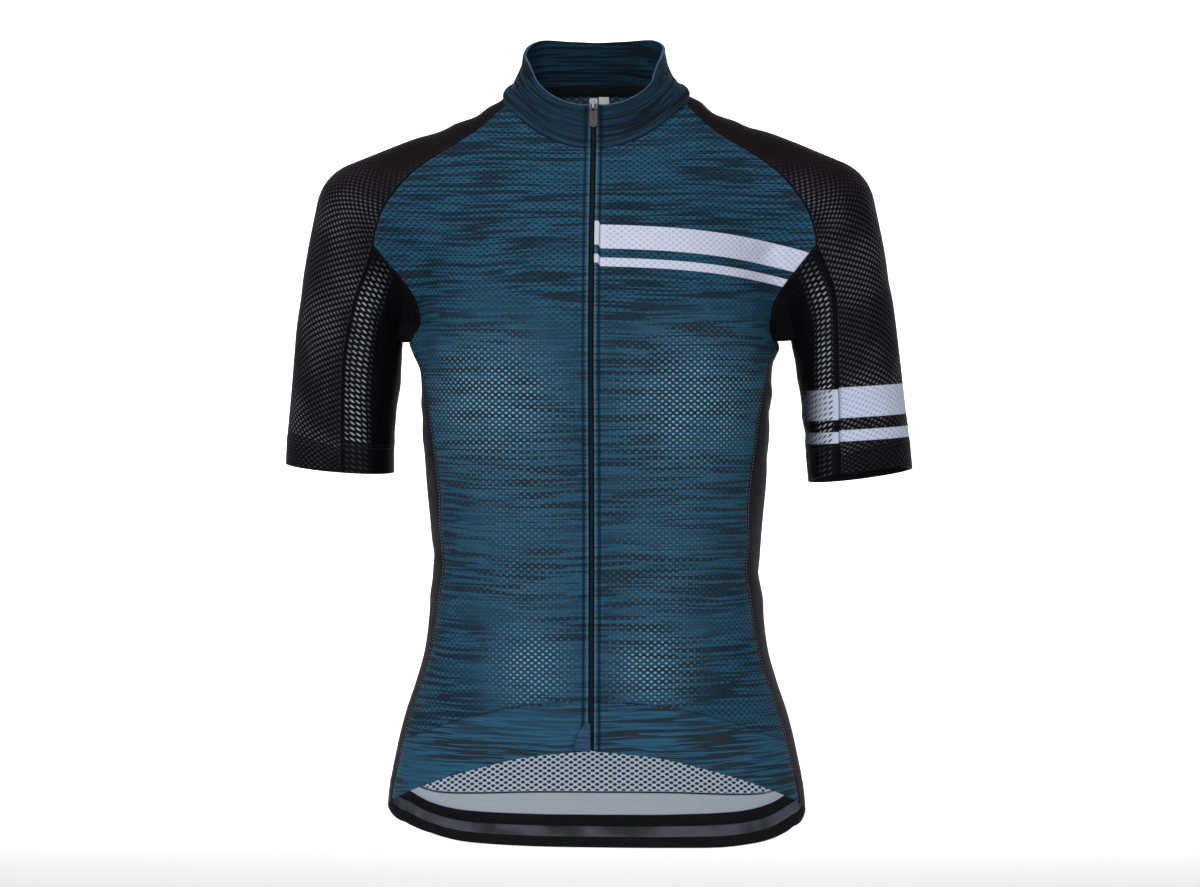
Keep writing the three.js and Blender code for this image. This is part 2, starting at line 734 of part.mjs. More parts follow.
// Raglan sleeves: over the shoulder from the collar to the folded hem
const turnTowards = (from, to, share) => {
  const angle = from.angleTo(to);
  const [near, far] = [Math.sin((1 - share) * angle), Math.sin(share * angle)];
  return from.clone().multiplyScalar(near).addScaledVector(to, far).normalize();
};
const sleeveEdges = (half) => [
  joinLines(half.raglanFront, half.sleeveFront),
  joinLines(half.raglanBack, half.sleeveBack),
];
const hemStart = (rows) => rows - HEM_ROWS;
const hemLift = (rows) => (j) => (j >= hemStart(rows) ? HEM_STEP : 0);
const hemWall = (rows) => (j) => (j >= hemStart(rows) ? DOUBLED + HEM_STEP : CLOTH);
const NECK_ROWS = 5;
for (const half of Object.values(seams)) {
  const [front, back] = sleeveEdges(half);
  const crest = joinLines(
    trace(SLEEVE_CREST, STEPS.raglan, 0, CREST_AT_CORNER),
    trace(SLEEVE_CREST, STEPS.sleeve, CREST_AT_CORNER),
  ).map(([x, z]) => new THREE.Vector3(half.side * x, 0, z));
  const cast = (j) => {
    const middle = front[j].clone().add(back[j]).multiplyScalar(0.5);
    const ways = [front[j], crest[j], back[j]].map((p) => p.clone().sub(middle).normalize());
    return half.neckCap.map((_, i) => {
      const share = (2 * i) / STEPS.cap;
      const way = share <= 1 ? turnTowards(ways[0], ways[1], share) : turnTowards(ways[1], ways[2], share - 1);
      return castOut(middle, way);
    });
  };
  const atNeck = cast(0);
  const net = front.map((_, j) => {
    if (j === front.length - 1) return half.cuffOuter;
    const fade = Math.max(0, 1 - j / NECK_ROWS);
    return cast(j).map((p, i) => {
      const shift = half.neckCap[i].clone().sub(atNeck[i]).multiplyScalar(fade);
      return settle(p.add(shift));
    });
  });
  net[0] = half.neckCap;
  net.forEach((row, j) => {
    row[0] = front[j].clone();
    row[STEPS.cap] = back[j].clone();
  });
  const rows = STEPS.raglan + STEPS.sleeve;
  const geometry = wall(pulledIn(net), outwards(net), hemWall(rows), hemLift(rows));
  addPiece(`sleeve_${half.name}`, geometry, COLOURS.black);
}

// Under-sleeve panels: from the armhole, round under the arm, down to the folded hem
for (const half of Object.values(seams)) {
  const armhole = joinLines(half.armholeFront, half.sideTop, [...half.armholeBack].reverse());
  const line = SLEEVE_LINE[half.name];
  const roundArm = (p) => settle(settleOn(p, (x, y, z) => sleeveDistance(line, Math.abs(x), y, z)));
  const net = onCloth(fill(armhole, half.cuffInner, half.sleeveFront, half.sleeveBack), roundArm);
  const rows = STEPS.sleeve;
  const geometry = wall(pulledIn(net), outwards(net), hemWall(rows), hemLift(rows));
  addPiece(`under_sleeve_${half.name}`, geometry, COLOURS.coarse);
}

// Collar: doubled cloth standing on the neck seam, open at the zip
const neckLine = (half) => joinLines(half.neckFront, half.neckCap, half.neckBack);
const collarTop = (side) => {
  const rows = COLLAR_TOP;
  const fine = trace(rows, STEPS.front - 2, 0, RAGLAN_FRONT_ROW);
  const zipEnd = [ZIP_EDGE, TURNED_TO, TOPSTITCH].map((x) => [x, rows[0][1], rows[0][2]]);
  const cap = trace(rows, STEPS.cap, RAGLAN_FRONT_ROW, RAGLAN_BACK_ROW);
  const back = trace(rows, STEPS.backHalf, RAGLAN_BACK_ROW);
  return joinLines([...zipEnd, ...fine.slice(1)], cap, back).map(([x, y, z]) => new THREE.Vector3(side * x, y, z));
};
const COLLAR_LIFT = 0.4;
const allRound = (half) => [...half(right, -1), ...half(left, 1).slice(0, -1).reverse()];
const collarFoot = allRound(neckLine).map((p) => p.clone().setZ(p.z + COLLAR_LIFT));
const collarRim = allRound((_, side) => collarTop(side));
const COLLAR_ROWS = [0, 0.3, 0.65, 1];
const COLLAR_BULGE = 0.8;
const awayFromNeck = (p) => new THREE.Vector3(p.x, p.y + 8, 0).normalize();
const collarNet = COLLAR_ROWS.map((share) => collarFoot.map((foot, i) => {
  const p = foot.clone().lerp(collarRim[i], share);
  return p.addScaledVector(awayFromNeck(p), COLLAR_BULGE * Math.sin(Math.PI * share));
}));

// Outward direction of a net worked out from its own points
function netNormals(rows, away) {
  return rows.map((row, j) => row.map((p, i) => {
    const down = rows[Math.min(j + 1, rows.length - 1)][i].clone().sub(rows[Math.max(j - 1, 0)][i]);
    const along = row[Math.min(i + 1, row.length - 1)].clone().sub(row[Math.max(i - 1, 0)]);
    const normal = down.cross(along).normalize();
    return normal.dot(away(p)) < 0 ? normal.negate() : normal;
  }));
}
addPiece('collar', wall(collarNet, netNormals(collarNet, awayFromNeck), even(DOUBLED)), COLOURS.collar);

// Neck tape and blank label inside the back of the neck
const inward = (depth) => even(-(depth + SEAM_GAP));
const NECK_TAPE = { top: 0.06, bottom: 0.55 };
const LABEL = { top: 0.6, bottom: 1.45, from: 7.05, to: 8 };
const onNet = (net, row, column) => {
  const [j, i] = [Math.min(Math.floor(row), net.length - 2), Math.min(Math.floor(column), net[0].length - 2)];
  const upper = net[j][i].clone().lerp(net[j][i + 1], column - i);
  return upper.lerp(net[j + 1][i].clone().lerp(net[j + 1][i + 1], column - i), row - j);
};
const backColumns = backNet[0].map((_, i) => i);
const neckTapeNet = [NECK_TAPE.top, NECK_TAPE.bottom]
  .map((row) => backColumns.slice(1, -1).map((column) => onNet(backNet, row, column)));
const neckTape = wall(neckTapeNet, outwards(neckTapeNet), even(LINING), inward(CLOTH));
addPiece('neck_tape', neckTape, COLOURS.tape);
const labelNet = [LABEL.top, 1, LABEL.bottom]
  .map((row) => [LABEL.from, LABEL.to].map((column) => onNet(backNet, row, column)));
addPiece('neck_label', wall(labelNet, outwards(labelNet), even(LINING), inward(CLOTH)), COLOURS.label);

// Zip: tapes behind the fronts, and the closed chain between their edges
const zipHeights = [...fronts.left.net, ...fronts.left.band.slice(1)].map((row) => row[0].z);
for (const { side, name } of Object.values(seams)) {
  const net = zipHeights.map((z, j) => {
    const height = j === 0 ? z - 1 : z;
    return [TAPE_INNER, TAPE_OUTER].map((x) => fromFront(side * x, height));
  });
  addPiece(`zip_tape_${name}`, wall(net, outwards(net), even(LINING), inward(CLOTH + TAPE_CLEAR)), COLOURS.tape);
}
const CHAIN = { lift: 0.4, thickness: 1.6, bottom: -541 };
const collarFront = COLLAR_ROWS.map((_, k) => collarNet[COLLAR_ROWS.length - 1 - k][0]);
const chainPoints = [
  ...collarFront.slice(0, -1).map((p) => [p.y, p.z]),
  ...zipHeights.slice(0, -1).map((z) => [fromFront(0, z).y, z]),
  [fromFront(0, CHAIN.bottom).y, CHAIN.bottom],
];
const chainNet = chainPoints.map(([y, z]) => [-CHAIN_HALF, CHAIN_HALF].map((x) => new THREE.Vector3(x, y, z)));
const chainWall = wall(chainNet, netNormals(chainNet, () => FRONTWARDS), even(CHAIN.thickness), even(CHAIN.lift));
addPiece('zip_chain', chainWall, COLOURS.tape, 0.5);

// Guard: folded cloth over the zip's lower end, on the wearer's right
const GUARD = [
  [-545, -12.2],
  [-537, -11.4],
  [-529, -9],
  [-522.5, -5.5],
];
const guardNet = [...GUARD].reverse().map(([z, edge]) => [edge, edge / 2, -0.2].map((x) => fromFront(x, z)));
const guardLift = even(TURNED_EDGE + SEAM_GAP + BAND);
addPiece('zip_end_guard', wall(guardNet, outwards(guardNet), even(BAND), guardLift), COLOURS.guard);

// Three back pockets in one panel, stitched down between and at their foot
const POCKET = { divider: 75, rowsHigh: 6, clear: 0.35, foot: 0.15, stitched: 0.5 };
const lastBackRow = backNet.length - 1;
const pocketRows = Array.from({ length: POCKET.rowsHigh + 1 }, (_, j) => lastBackRow - POCKET.rowsHigh + j);
pocketRows[POCKET.rowsHigh] -= POCKET.foot;
const pocketColumns = [...backColumns];
pocketColumns[0] += POCKET.clear;
pocketColumns[pocketColumns.length - 1] -= POCKET.clear;
const pocketNet = pocketRows.map((row) => pocketColumns.map((column) => onNet(backNet, row, column)));
const pocketLift = (j, i) => {
  const x = Math.abs(pocketNet[j][i].x);
  const edge = Math.abs(pocketNet[j][0].x);
  const reach = x < POCKET.divider ? 0.5 - x / POCKET.divider / 2 : (x - POCKET.divider) / (edge - POCKET.divider);
  const slack = Math.sin(Math.PI * reach) ** 2 * (1 - j / POCKET.rowsHigh);
  return CLOTH + POCKET.stitched + POCKET_SLACK * slack;
};
addPiece('back_pockets', wall(pocketNet, outwards(pocketNet), even(CLOTH), pocketLift), COLOURS.band);

// Slider at the top of the chain, with the ring that its pull tab hangs on
const wasm = await Module();
wasm.setup();
const SLIDER = { top: -5, bottom: -14.6, topHalf: 3.6, bottomHalf: 2.7, back: -59.6, front: -62.8, round: 1.2 };
const PIVOT = { y: -64.8, z: -11 };
const RING = { inner: 2.0, outer: 3.2, width: 1.4 };
const PULL = { top: -10.2, bottom: -29.4, neckHalf: 2.3, half: 3.15, thick: 1.4, eyeHalf: 1.5, eyeTop: -11.8, eyeLow: -15.8 };

// An outline in X and height, given its thickness along Y, from its front face backwards
function slab(shape, thickness, frontY, bevel = 0) {
  const settings = {
    depth: thickness - 2 * bevel,
    bevelEnabled: bevel > 0,
    bevelSize: bevel,
    bevelThickness: bevel,
    bevelOffset: -bevel,
    bevelSegments: 1,
    curveSegments: 5,
  };
  const geometry = new THREE.ExtrudeGeometry(shape, settings);
  geometry.rotateX(Math.PI / 2);
  geometry.translate(0, frontY + thickness - bevel, 0);
  return geometry;
}

function solid(geometry) {
  const bare = geometry.clone();
  bare.deleteAttribute('normal');
  bare.deleteAttribute('uv');
  const merged = mergeVertices(bare, 1e-4);
  const mesh = { numProp: 3, vertProperties: merged.attributes.position.array, triVerts: merged.index.array };
  return new wasm.Manifold(new wasm.Mesh(mesh));
}

function fromSolid(shape) {
  const { vertProperties, triVerts } = shape.getMesh();
  const geometry = new THREE.BufferGeometry();
  geometry.setAttribute('position', new THREE.BufferAttribute(vertProperties, 3));
  geometry.setIndex(new THREE.BufferAttribute(triVerts, 1));
  return geometry;
}

const sliderShape = new THREE.Shape();
sliderShape.moveTo(-SLIDER.bottomHalf + SLIDER.round, SLIDER.bottom);
sliderShape.lineTo(SLIDER.bottomHalf - SLIDER.round, SLIDER.bottom);
sliderShape.quadraticCurveTo(SLIDER.bottomHalf, SLIDER.bottom, SLIDER.bottomHalf, SLIDER.bottom + SLIDER.round);
sliderShape.lineTo(SLIDER.topHalf, SLIDER.top - 2 * SLIDER.round);
sliderShape.quadraticCurveTo(SLIDER.topHalf, SLIDER.top, SLIDER.topHalf - SLIDER.round, SLIDER.top);
sliderShape.lineTo(-SLIDER.topHalf + SLIDER.round, SLIDER.top);
sliderShape.quadraticCurveTo(-SLIDER.topHalf, SLIDER.top, -SLIDER.topHalf, SLIDER.top - 2 * SLIDER.round);
sliderShape.lineTo(-SLIDER.bottomHalf, SLIDER.bottom + SLIDER.round);
sliderShape.quadraticCurveTo(-SLIDER.bottomHalf, SLIDER.bottom, -SLIDER.bottomHalf + SLIDER.round, SLIDER.bottom);

const ringShape = new THREE.Shape();
ringShape.absarc(0, 0, RING.outer, 0, 2 * Math.PI);
const ringHole = new THREE.Path();
ringHole.absarc(0, 0, RING.inner, 0, 2 * Math.PI);
ringShape.holes.push(ringHole);
const ring = new THREE.ExtrudeGeometry(ringShape, { depth: RING.width, bevelEnabled: false, curveSegments: 9 });
ring.translate(0, 0, -RING.width / 2);
ring.rotateY(Math.PI / 2);
ring.rotateX(Math.PI / 2);
ring.translate(0, PIVOT.y, PIVOT.z);
const sliderBody = slab(sliderShape, SLIDER.back - SLIDER.front, SLIDER.front, 0.5);
addPiece('zip_slider', fromSolid(solid(sliderBody).add(solid(ring))), COLOURS.metal, 0.35, 0.9);

// Pull tab: a flat tab with an eye round the slider's ring
const pullShape = new THREE.Shape();
pullShape.moveTo(-PULL.half, PULL.bottom + PULL.half);
pullShape.absarc(0, PULL.bottom + PULL.half, PULL.half, Math.PI, 2 * Math.PI);
pullShape.lineTo(PULL.half, PULL.eyeLow - 1.2);
pullShape.quadraticCurveTo(PULL.half, PULL.eyeLow, PULL.neckHalf + 0.2, PULL.eyeLow + 0.6);
pullShape.lineTo(PULL.neckHalf, PULL.top - 0.6);
pullShape.lineTo(PULL.neckHalf - 0.6, PULL.top);
pullShape.lineTo(-PULL.neckHalf + 0.6, PULL.top);
pullShape.lineTo(-PULL.neckHalf, PULL.top - 0.6);
pullShape.lineTo(-PULL.neckHalf - 0.2, PULL.eyeLow + 0.6);
pullShape.quadraticCurveTo(-PULL.half, PULL.eyeLow, -PULL.half, PULL.eyeLow - 1.2);
const eye = new THREE.Path();
eye.moveTo(-PULL.eyeHalf, PULL.eyeLow);
eye.lineTo(-PULL.eyeHalf, PULL.eyeTop);
eye.lineTo(PULL.eyeHalf, PULL.eyeTop);
eye.lineTo(PULL.eyeHalf, PULL.eyeLow);
pullShape.holes.push(eye);
const pullBody = slab(pullShape, PULL.thick, PIVOT.y - PULL.thick / 2);
addPiece('zip_pull', fromSolid(solid(pullBody)), COLOURS.pull, 0.5);

export default jersey;
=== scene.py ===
import math

import bpy
import numpy as np
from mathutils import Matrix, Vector


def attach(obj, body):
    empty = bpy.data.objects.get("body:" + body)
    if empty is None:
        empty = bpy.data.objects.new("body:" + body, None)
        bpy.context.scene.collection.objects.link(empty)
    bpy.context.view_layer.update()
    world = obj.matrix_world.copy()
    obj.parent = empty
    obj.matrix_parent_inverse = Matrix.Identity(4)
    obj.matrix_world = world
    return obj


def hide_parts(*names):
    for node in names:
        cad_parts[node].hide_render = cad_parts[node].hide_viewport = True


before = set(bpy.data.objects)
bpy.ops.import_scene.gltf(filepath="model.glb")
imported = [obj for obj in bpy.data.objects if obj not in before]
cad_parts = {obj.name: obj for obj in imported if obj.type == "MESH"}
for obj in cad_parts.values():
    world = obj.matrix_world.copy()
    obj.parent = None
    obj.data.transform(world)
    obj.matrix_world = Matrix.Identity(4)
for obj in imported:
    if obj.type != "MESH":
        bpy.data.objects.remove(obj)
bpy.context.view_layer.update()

for loaded in bpy.context.selected_objects:
    loaded.select_set(False)


# The worn form
# Knitted panels are cut and sewn to stretch over a general figure, a body that runs softly into
# two sleeves. Every panel lies on this form, whose sizes are in millimetres as in the pattern.
MM = 0.001

# Height, half width, front depth, back depth
TORSO = [
    (-670, 179, 118, 119), (-598, 178, 116, 116), (-552, 170, 113, 111), (-524, 163, 111, 107),
    (-497, 154, 109, 102), (-470, 146.5, 107, 97), (-433, 142, 104, 90), (-400, 139.5, 102, 86),
    (-370, 141, 102, 85), (-326, 145, 105, 87), (-285, 147.5, 110, 91), (-246, 149, 115, 95),
    (-215, 150, 117, 98), (-180, 149, 113, 98), (-140, 142, 104, 94), (-100, 127, 90, 86),
    (-70, 114, 77, 77), (-46, 102, 66, 68), (-20, 88, 57, 59), (5, 74, 49, 52), (30, 66, 42, 46),
    (70, 56, 34, 38),
]
SQUARENESS = 2.3

# Along X, Y, height, radius, from the neck to the cuff
SLEEVE_LINE = {
    1: [
        (72, 4, -49, 40), (108, 2, -61, 43), (152, 1, -79.5, 44.3), (192, 0, -97, 45),
        (199.5, -1, -134, 45.2), (206.5, -2, -174, 45.4), (211, -2, -206, 45), (214.2, -1, -224, 44),
        (218.2, -1, -258, 43.8), (221.8, -2, -292, 44.4), (225.5, -3, -330, 44.4),
    ],
    -1: [
        (72, 4, -50, 40), (108, 2, -62, 43), (150, 1, -80, 44.2), (194.5, 0, -98.5, 45),
        (201.5, -1, -134, 45.2), (208, -2, -174, 45.5), (211.5, -2, -206, 45.6), (212.6, -1, -224, 46),
        (215.8, -1, -258, 45.6), (219.2, 0, -292, 45.6), (220, 0, -330, 46.4),
    ],
}
SLEEVE_DEEPER = 1.04

# Height and how softly sleeve and body run into each other there
BLEND = [
    (-240, 8), (-222, 12), (-206, 18), (-193, 28), (-175, 41), (-125, 54), (-85, 34), (-50, 24), (20, 20),
]

# Largest folds: from X, Y, height, to X, Y, height, width, rise
FOLDS = [
    (128, -62, -372, 70, -92, -386, 15, 2.6), (130, -60, -404, 84, -88, -412, 13, -2.4),
    (-128, -62, -362, -78, -90, -380, 15, 2.4), (-130, -60, -398, -88, -86, -404, 13, -2.6),
    (-150, -60, -178, -96, -100, -206, 14, 2.4), (148, -60, -186, 104, -98, -212, 14, 2.2),
    (0, 84, -372, 88, 66, -396, 18, 3.4), (0, 84, -350, -92, 66, -378, 18, 3.0),
    (-60, 82, -404, 66, 82, -410, 16, -3.2), (170, 30, -180, 128, 74, -214, 16, 2.6),
    (-170, 30, -176, -126, 74, -208, 16, 2.6), (182, -36, -232, 176, 30, -238, 10, 2.2),
    (-180, -36, -240, -174, 30, -246, 10, 2.2),
]

# Creases laid over the folds: from X, Y, height, to X, Y, height, width, rise
CREASES = [
    (-168, -46, -146, -146, -72, -176, 5.5, -1.8), (-158, -52, -168, -132, -82, -190, 6, 1.6),
    (-152, -58, -190, -118, -92, -216, 8, -1.8), (-146, -54, -206, -108, -94, -240, 8, 1.5),
    (-140, -56, -236, -96, -96, -262, 10, -0.9), (166, -46, -150, 144, -74, -180, 6, -1.4),
    (156, -54, -178, 124, -88, -202, 7, 1.6), (150, -56, -200, 112, -96, -232, 8, -1.7),
    (140, -58, -226, 100, -100, -250, 10, 0.9), (60, -102, -396, 130, -66, -388, 9, -1.2),
    (84, -96, -420, 138, -60, -430, 8, 1.0), (-74, -98, -416, -134, -62, -420, 9, 1.1),
    (-58, -104, -440, -128, -74, -452, 11, -1.0), (96, -96, -356, 136, -64, -344, 10, 0.9),
    (-92, -98, -342, -136, -66, -332, 9, -0.9), (-120, -84, -500, -70, -104, -488, 13, -1.0),
    (116, -86, -494, 58, -106, -478, 12, 0.9), (-18, -106, -300, -16, -106, -420, 9, -0.7),
    (19, -106, -330, 17, -106, -450, 8, -0.6), (40, -80, -98, 96, -66, -112, 12, -0.9),
    (-44, -80, -92, -100, -62, -104, 12, -0.9),
    (232, -34, -196, 206, -44, -232, 11, 1.7), (226, -40, -226, 196, -44, -268, 9, -1.9),
    (204, -46, -176, 244, -30, -214, 12, -1.7), (190, -44, -150, 226, -38, -170, 11, 1.5),
    (238, -30, -276, 214, -44, -296, 10, 0.8), (250, -20, -150, 252, 24, -172, 12, -1.0),
    (-230, -36, -186, -206, -44, -226, 10, 1.8), (-212, -44, -206, -192, -44, -260, 8, -2.0),
    (-246, -28, -214, -222, -40, -252, 11, -1.7), (-196, -44, -146, -224, -38, -158, 10, 1.5),
    (-234, -36, -282, -208, -44, -300, 10, 0.9), (-256, -10, -168, -250, 26, -196, 12, -1.0),
    (-176, -40, -178, -170, -40, -226, 4.5, 1.5), (-183, -42, -172, -180, -43, -236, 4, -1.3),
    (-191, -42, -190, -190, -44, -250, 5, 1.1), (176, -40, -176, 171, -38, -218, 4.5, 1.5),
    (184, -42, -178, 180, -42, -232, 4, -1.3), (193, -42, -196, 190, -44, -246, 5, 1.1),
    (-166, -38, -196, -180, -42, -212, 4, -1.1), (166, -38, -190, 182, -42, -206, 4, -1.1),
    (176, 40, -178, 170, 38, -224, 5, 1.4), (186, 42, -184, 182, 42, -238, 5, -1.2),
    (-176, 40, -176, -170, 38, -220, 5, 1.4), (-187, 42, -182, -182, 42, -236, 5, -1.2),
    (156, 48, -180, 120, 82, -204, 7, -1.3), (150, 50, -206, 108, 86, -238, 9, 1.1),
    (-156, 48, -176, -122, 82, -200, 7, -1.3), (-150, 50, -204, -106, 86, -230, 9, 1.2),
    (-128, 64, -372, -60, 82, -386, 9, -1.2), (126, 64, -368, 50, 82, -384, 9, -1.3),
    (0, 84, -392, 80, 76, -420, 10, 1.3), (-10, 84, -424, -96, 74, -436, 9, -1.1),
    (-40, 78, -90, -96, 64, -112, 12, -0.9), (36, 78, -88, 92, 66, -114, 12, -0.9),
    (148, -20, -300, 147, 24, -318, 9, -0.9), (-148, -18, -286, -147, 24, -304, 9, 0.9),
    (150, -30, -213, 150, 18, -213, 9, 6.0), (-150, -32, -207, -150, 20, -206, 9, 9.0),
    (-150, -32, -220, -150, 20, -218, 9, 4.5), (88, -20, -7, 88, 24, -4, 10, 4.0),
    (-91, -20, -11, -91, 24, -8, 10, 2.8),
    (127, -28, -27, 127, 28, -27, 13, -2.4), (-133, -28, -29, -133, 28, -28, 16, -2.6),
    (182, -22, -238, 184, 16, -242, 4.5, 1.6), (181, -20, -252, 183, 18, -250, 4, -1.2),
    (179, -24, -268, 180, 14, -273, 5, 1.3), (178, -20, -288, 180, 18, -284, 5, -1.2),
    (-178, -20, -246, -180, 18, -252, 5, 1.4), (-176, -24, -270, -178, 14, -266, 5, -1.2),
    (-176, -18, -290, -178, 16, -294, 5, 1.2), (150, -22, -250, 149, 24, -256, 6, 1.2),
    (149, -20, -272, 148, 20, -268, 6, -1.2), (-150, -20, -262, -149, 22, -256, 6, 1.1),
    (141, -24, -398, 140, 26, -412, 8, -1.4), (-141, -20, -386, -140, 28, -402, 8, -1.3),
    (142, -18, -430, 144, 28, -424, 8, 1.0), (-142, -26, -420, -143, 22, -428, 8, 1.0),
]


def smooth_table(rows):
    """A smooth line through rows that start with an increasing key."""
    rows = np.array(rows, float)
    key, values = rows[:, 0], rows[:, 1:]
    ends = np.diff(values, axis=0) / np.diff(key)[:, None]
    middle = (values[2:] - values[:-2]) / (key[2:] - key[:-2])[:, None]
    slope = np.vstack([ends[:1], middle, ends[-1:]])

    def at(where):
        where = np.asarray(where, float)
        i = np.clip(np.searchsorted(key, where) - 1, 0, len(key) - 2)
        span = key[i + 1] - key[i]
        t = np.clip((where - key[i]) / span, 0, 1)
        near = ((1 + 2 * t) * (1 - t) ** 2)[..., None]
        rise = (t * (1 - t) ** 2 * span)[..., None]
        fall = (t * t * (t - 1) * span)[..., None]
        return near * values[i] + (1 - near) * values[i + 1] + rise * slope[i] + fall * slope[i + 1]

    return at


def runs_across(net):
    """Length along each row of a net of points, from the row's start."""
    step = np.linalg.norm(np.diff(net, axis=1), axis=-1)
    return np.concatenate([np.zeros((len(net), 1)), np.cumsum(step, 1)], 1)


def run_of(line):
    """Length along one line of points, from its start."""
    return runs_across(line[None])[0]


def trace(rows, steps, first=0, last=None, spacing=None):
    """Steps along the smooth line through rows, between two of the rows."""
    rows = np.array(rows, float)
    run = run_of(rows)
    line = smooth_table(np.column_stack([run, rows]))
    start = run[first]
    length = run[-1 if last is None else last] - start
    shares = np.linspace(0, 1, steps + 1)
    return line(start + length * (shares if spacing is None else spacing(shares)))


torso_at = smooth_table(TORSO)
blend_at = smooth_table(BLEND)


def torso_distance(p):
    """Roughly how far points are outside the body, whose sections are rounded boxes."""
    x, y, z = np.moveaxis(p, -1, 0)
    half_width, front, back = np.moveaxis(torso_at(z), -1, 0)
    depth = np.where(y < 0, front, back)
    reach = (np.abs(x / half_width) ** SQUARENESS + np.abs(y / depth) ** SQUARENESS) ** (1 / SQUARENESS)
    return np.hypot(x, y) * (1 - 1 / np.maximum(reach, 0.05))


def away_from(p, start, end, deeper=1.0):
    """Distance from the line between two points, and the share of the way along it."""
    start, end = np.array(start, float), np.array(end, float)
    way = end - start
    t = np.clip((p - start) @ way / (way @ way), 0, 1)
    off = (p - start - t[..., None] * way) / (1, deeper, 1)
    return np.sqrt((off * off).sum(-1)), t


def sleeve_distance(p, side):
    """How far points are outside a sleeve, a row of tapering tubes."""
    p = np.stack([np.abs(p[..., 0]), p[..., 1], p[..., 2]], -1)
    nearest = np.full(p.shape[:-1], np.inf)
    line = SLEEVE_LINE[side]
    for (*start, near), (*end, far) in zip(line, line[1:]):
        away, t = away_from(p, start, end, SLEEVE_DEEPER)
        nearest = np.minimum(nearest, away - near - t * (far - near))
    return nearest


def bell(away, middle, reach):
    """1 at a middle distance, falling softly to 0 on both sides."""
    return np.exp(-((away - middle) / reach) ** 2)


def ridge_height(p, ridges):
    height = np.zeros(p.shape[:-1])
    for *ends, width, rise in ridges:
        away, _ = away_from(p, ends[:3], ends[3:])
        height += rise * bell(away, 0, width)
    return height


def cloth_distance(p):
    """The surface that the cloth follows, below zero inside."""
    body = torso_distance(p)
    sleeve = np.where(p[..., 0] < 0, sleeve_distance(p, -1), sleeve_distance(p, 1))
    blend = blend_at(p[..., 2])[..., 0]
    overlap = np.maximum(blend - np.abs(body - sleeve), 0) / blend
    return np.minimum(body, sleeve) - overlap * overlap * blend / 4 - ridge_height(p, FOLDS)


PROBE, SETTLE_ROUNDS, SEARCH_FROM, SEARCH_STEP, SEARCH_END, HALVINGS = 0.4, 12, 2.0, 3.0, 260, 18


def slope_of(distance, p):
    steps = PROBE * np.eye(3)
    return np.stack([distance(p + step) - distance(p - step) for step in steps], -1) / (2 * PROBE)


def settle(p, distance=cloth_distance):
    """Points moved onto a surface along its own slope."""
    for _ in range(SETTLE_ROUNDS):
        slope = slope_of(distance, p)
        p = p - slope * (distance(p) / np.maximum((slope * slope).sum(-1), 0.2))[..., None]
    return p


def cast_out(start, way):
    """From points inside the jersey out to its cloth."""
    start, way = np.broadcast_arrays(np.asarray(start, float), np.asarray(way, float))
    shape = start.shape
    start, way = start.reshape(-1, 3), way.reshape(-1, 3)
    way = way / np.linalg.norm(way, axis=1, keepdims=True)
    far = np.full(len(start), SEARCH_FROM)
    going = np.arange(len(start))
    while len(going):
        inside = cloth_distance(start[going] + way[going] * far[going, None]) <= 0
        going = going[inside & (far[going] < SEARCH_END)]
        far[going] += SEARCH_STEP
    near = far - SEARCH_STEP
    for _ in range(HALVINGS):
        middle = (near + far) / 2
        outside = cloth_distance(start + way * middle[:, None]) > 0
        far = np.where(outside, middle, far)
        near = np.where(outside, near, middle)
    return (start + way * far[:, None]).reshape(shape)


def points(x, y, z):
    return np.stack(np.broadcast_arrays(*(np.asarray(v, float) for v in (x, y, z))), -1)


def from_front(x, z):
    return cast_out(points(x, 0, z), (0, -1, 0))


def from_back(x, z):
    return cast_out(points(x, 0, z), (0, 1, 0))


def from_side(side, y, z):
    return cast_out(points(60 * side, y, z), (side, 0, 0))


def fill(top, bottom, start, end, across=None):
    """Rows of points between four edges that share their corners."""
    u = np.linspace(0, 1, len(top)) if across is None else across
    u = u[None, :, None]
    v = np.linspace(0, 1, len(start))[:, None, None]
    sides = start[:, None] * (1 - u) + end[:, None] * u
    ends = top[None] * (1 - v) + bottom[None] * v
    corners = (top[0] * (1 - u) + top[-1] * u) * (1 - v) + (bottom[0] * (1 - u) + bottom[-1] * u) * v
    return sides + ends - corners


def on_cloth(net, move):
    """Inner points of a filled net, moved onto the cloth."""
    net = net.copy()
    net[1:-1, 1:-1] = move(net[1:-1, 1:-1])
    return net


def join_lines(*lines):
    return np.concatenate([lines[0]] + [line[1:] for line in lines[1:]])


# Printed fronts
# Two panels of eyelet mesh, printed with streaks and, on the wearer's left, two pale stripes.
# Their zip edges are turned under and topstitched, and a plain knit band is sewn on below.
ZIP_EDGE, TURNED_TO, TOPSTITCH = 2.2, 5.4, 7.0
CLOTH, BAND, TURNED_EDGE, SEAM_GAP, SEAM_DEPTH, SEAM_REACH = 1.2, 1.6, 0.8, 0.08, 0.45, 1.3
FINER = 6
RAGLAN, ARMHOLE_STEPS, SIDE, SIDE_LOW, HEM_STEPS = 8 * FINER, 5 * FINER, 12 * FINER, 2 * FINER, 2 * FINER
SIDE_TOP, BACK_SIDE, BACK_LOW, SLEEVE = 4 * FINER, 13 * FINER, 1 * FINER, 10 * FINER
CAP, BACK_HALF, FRONT = 12 * FINER, 8 * FINER, 10 * FINER

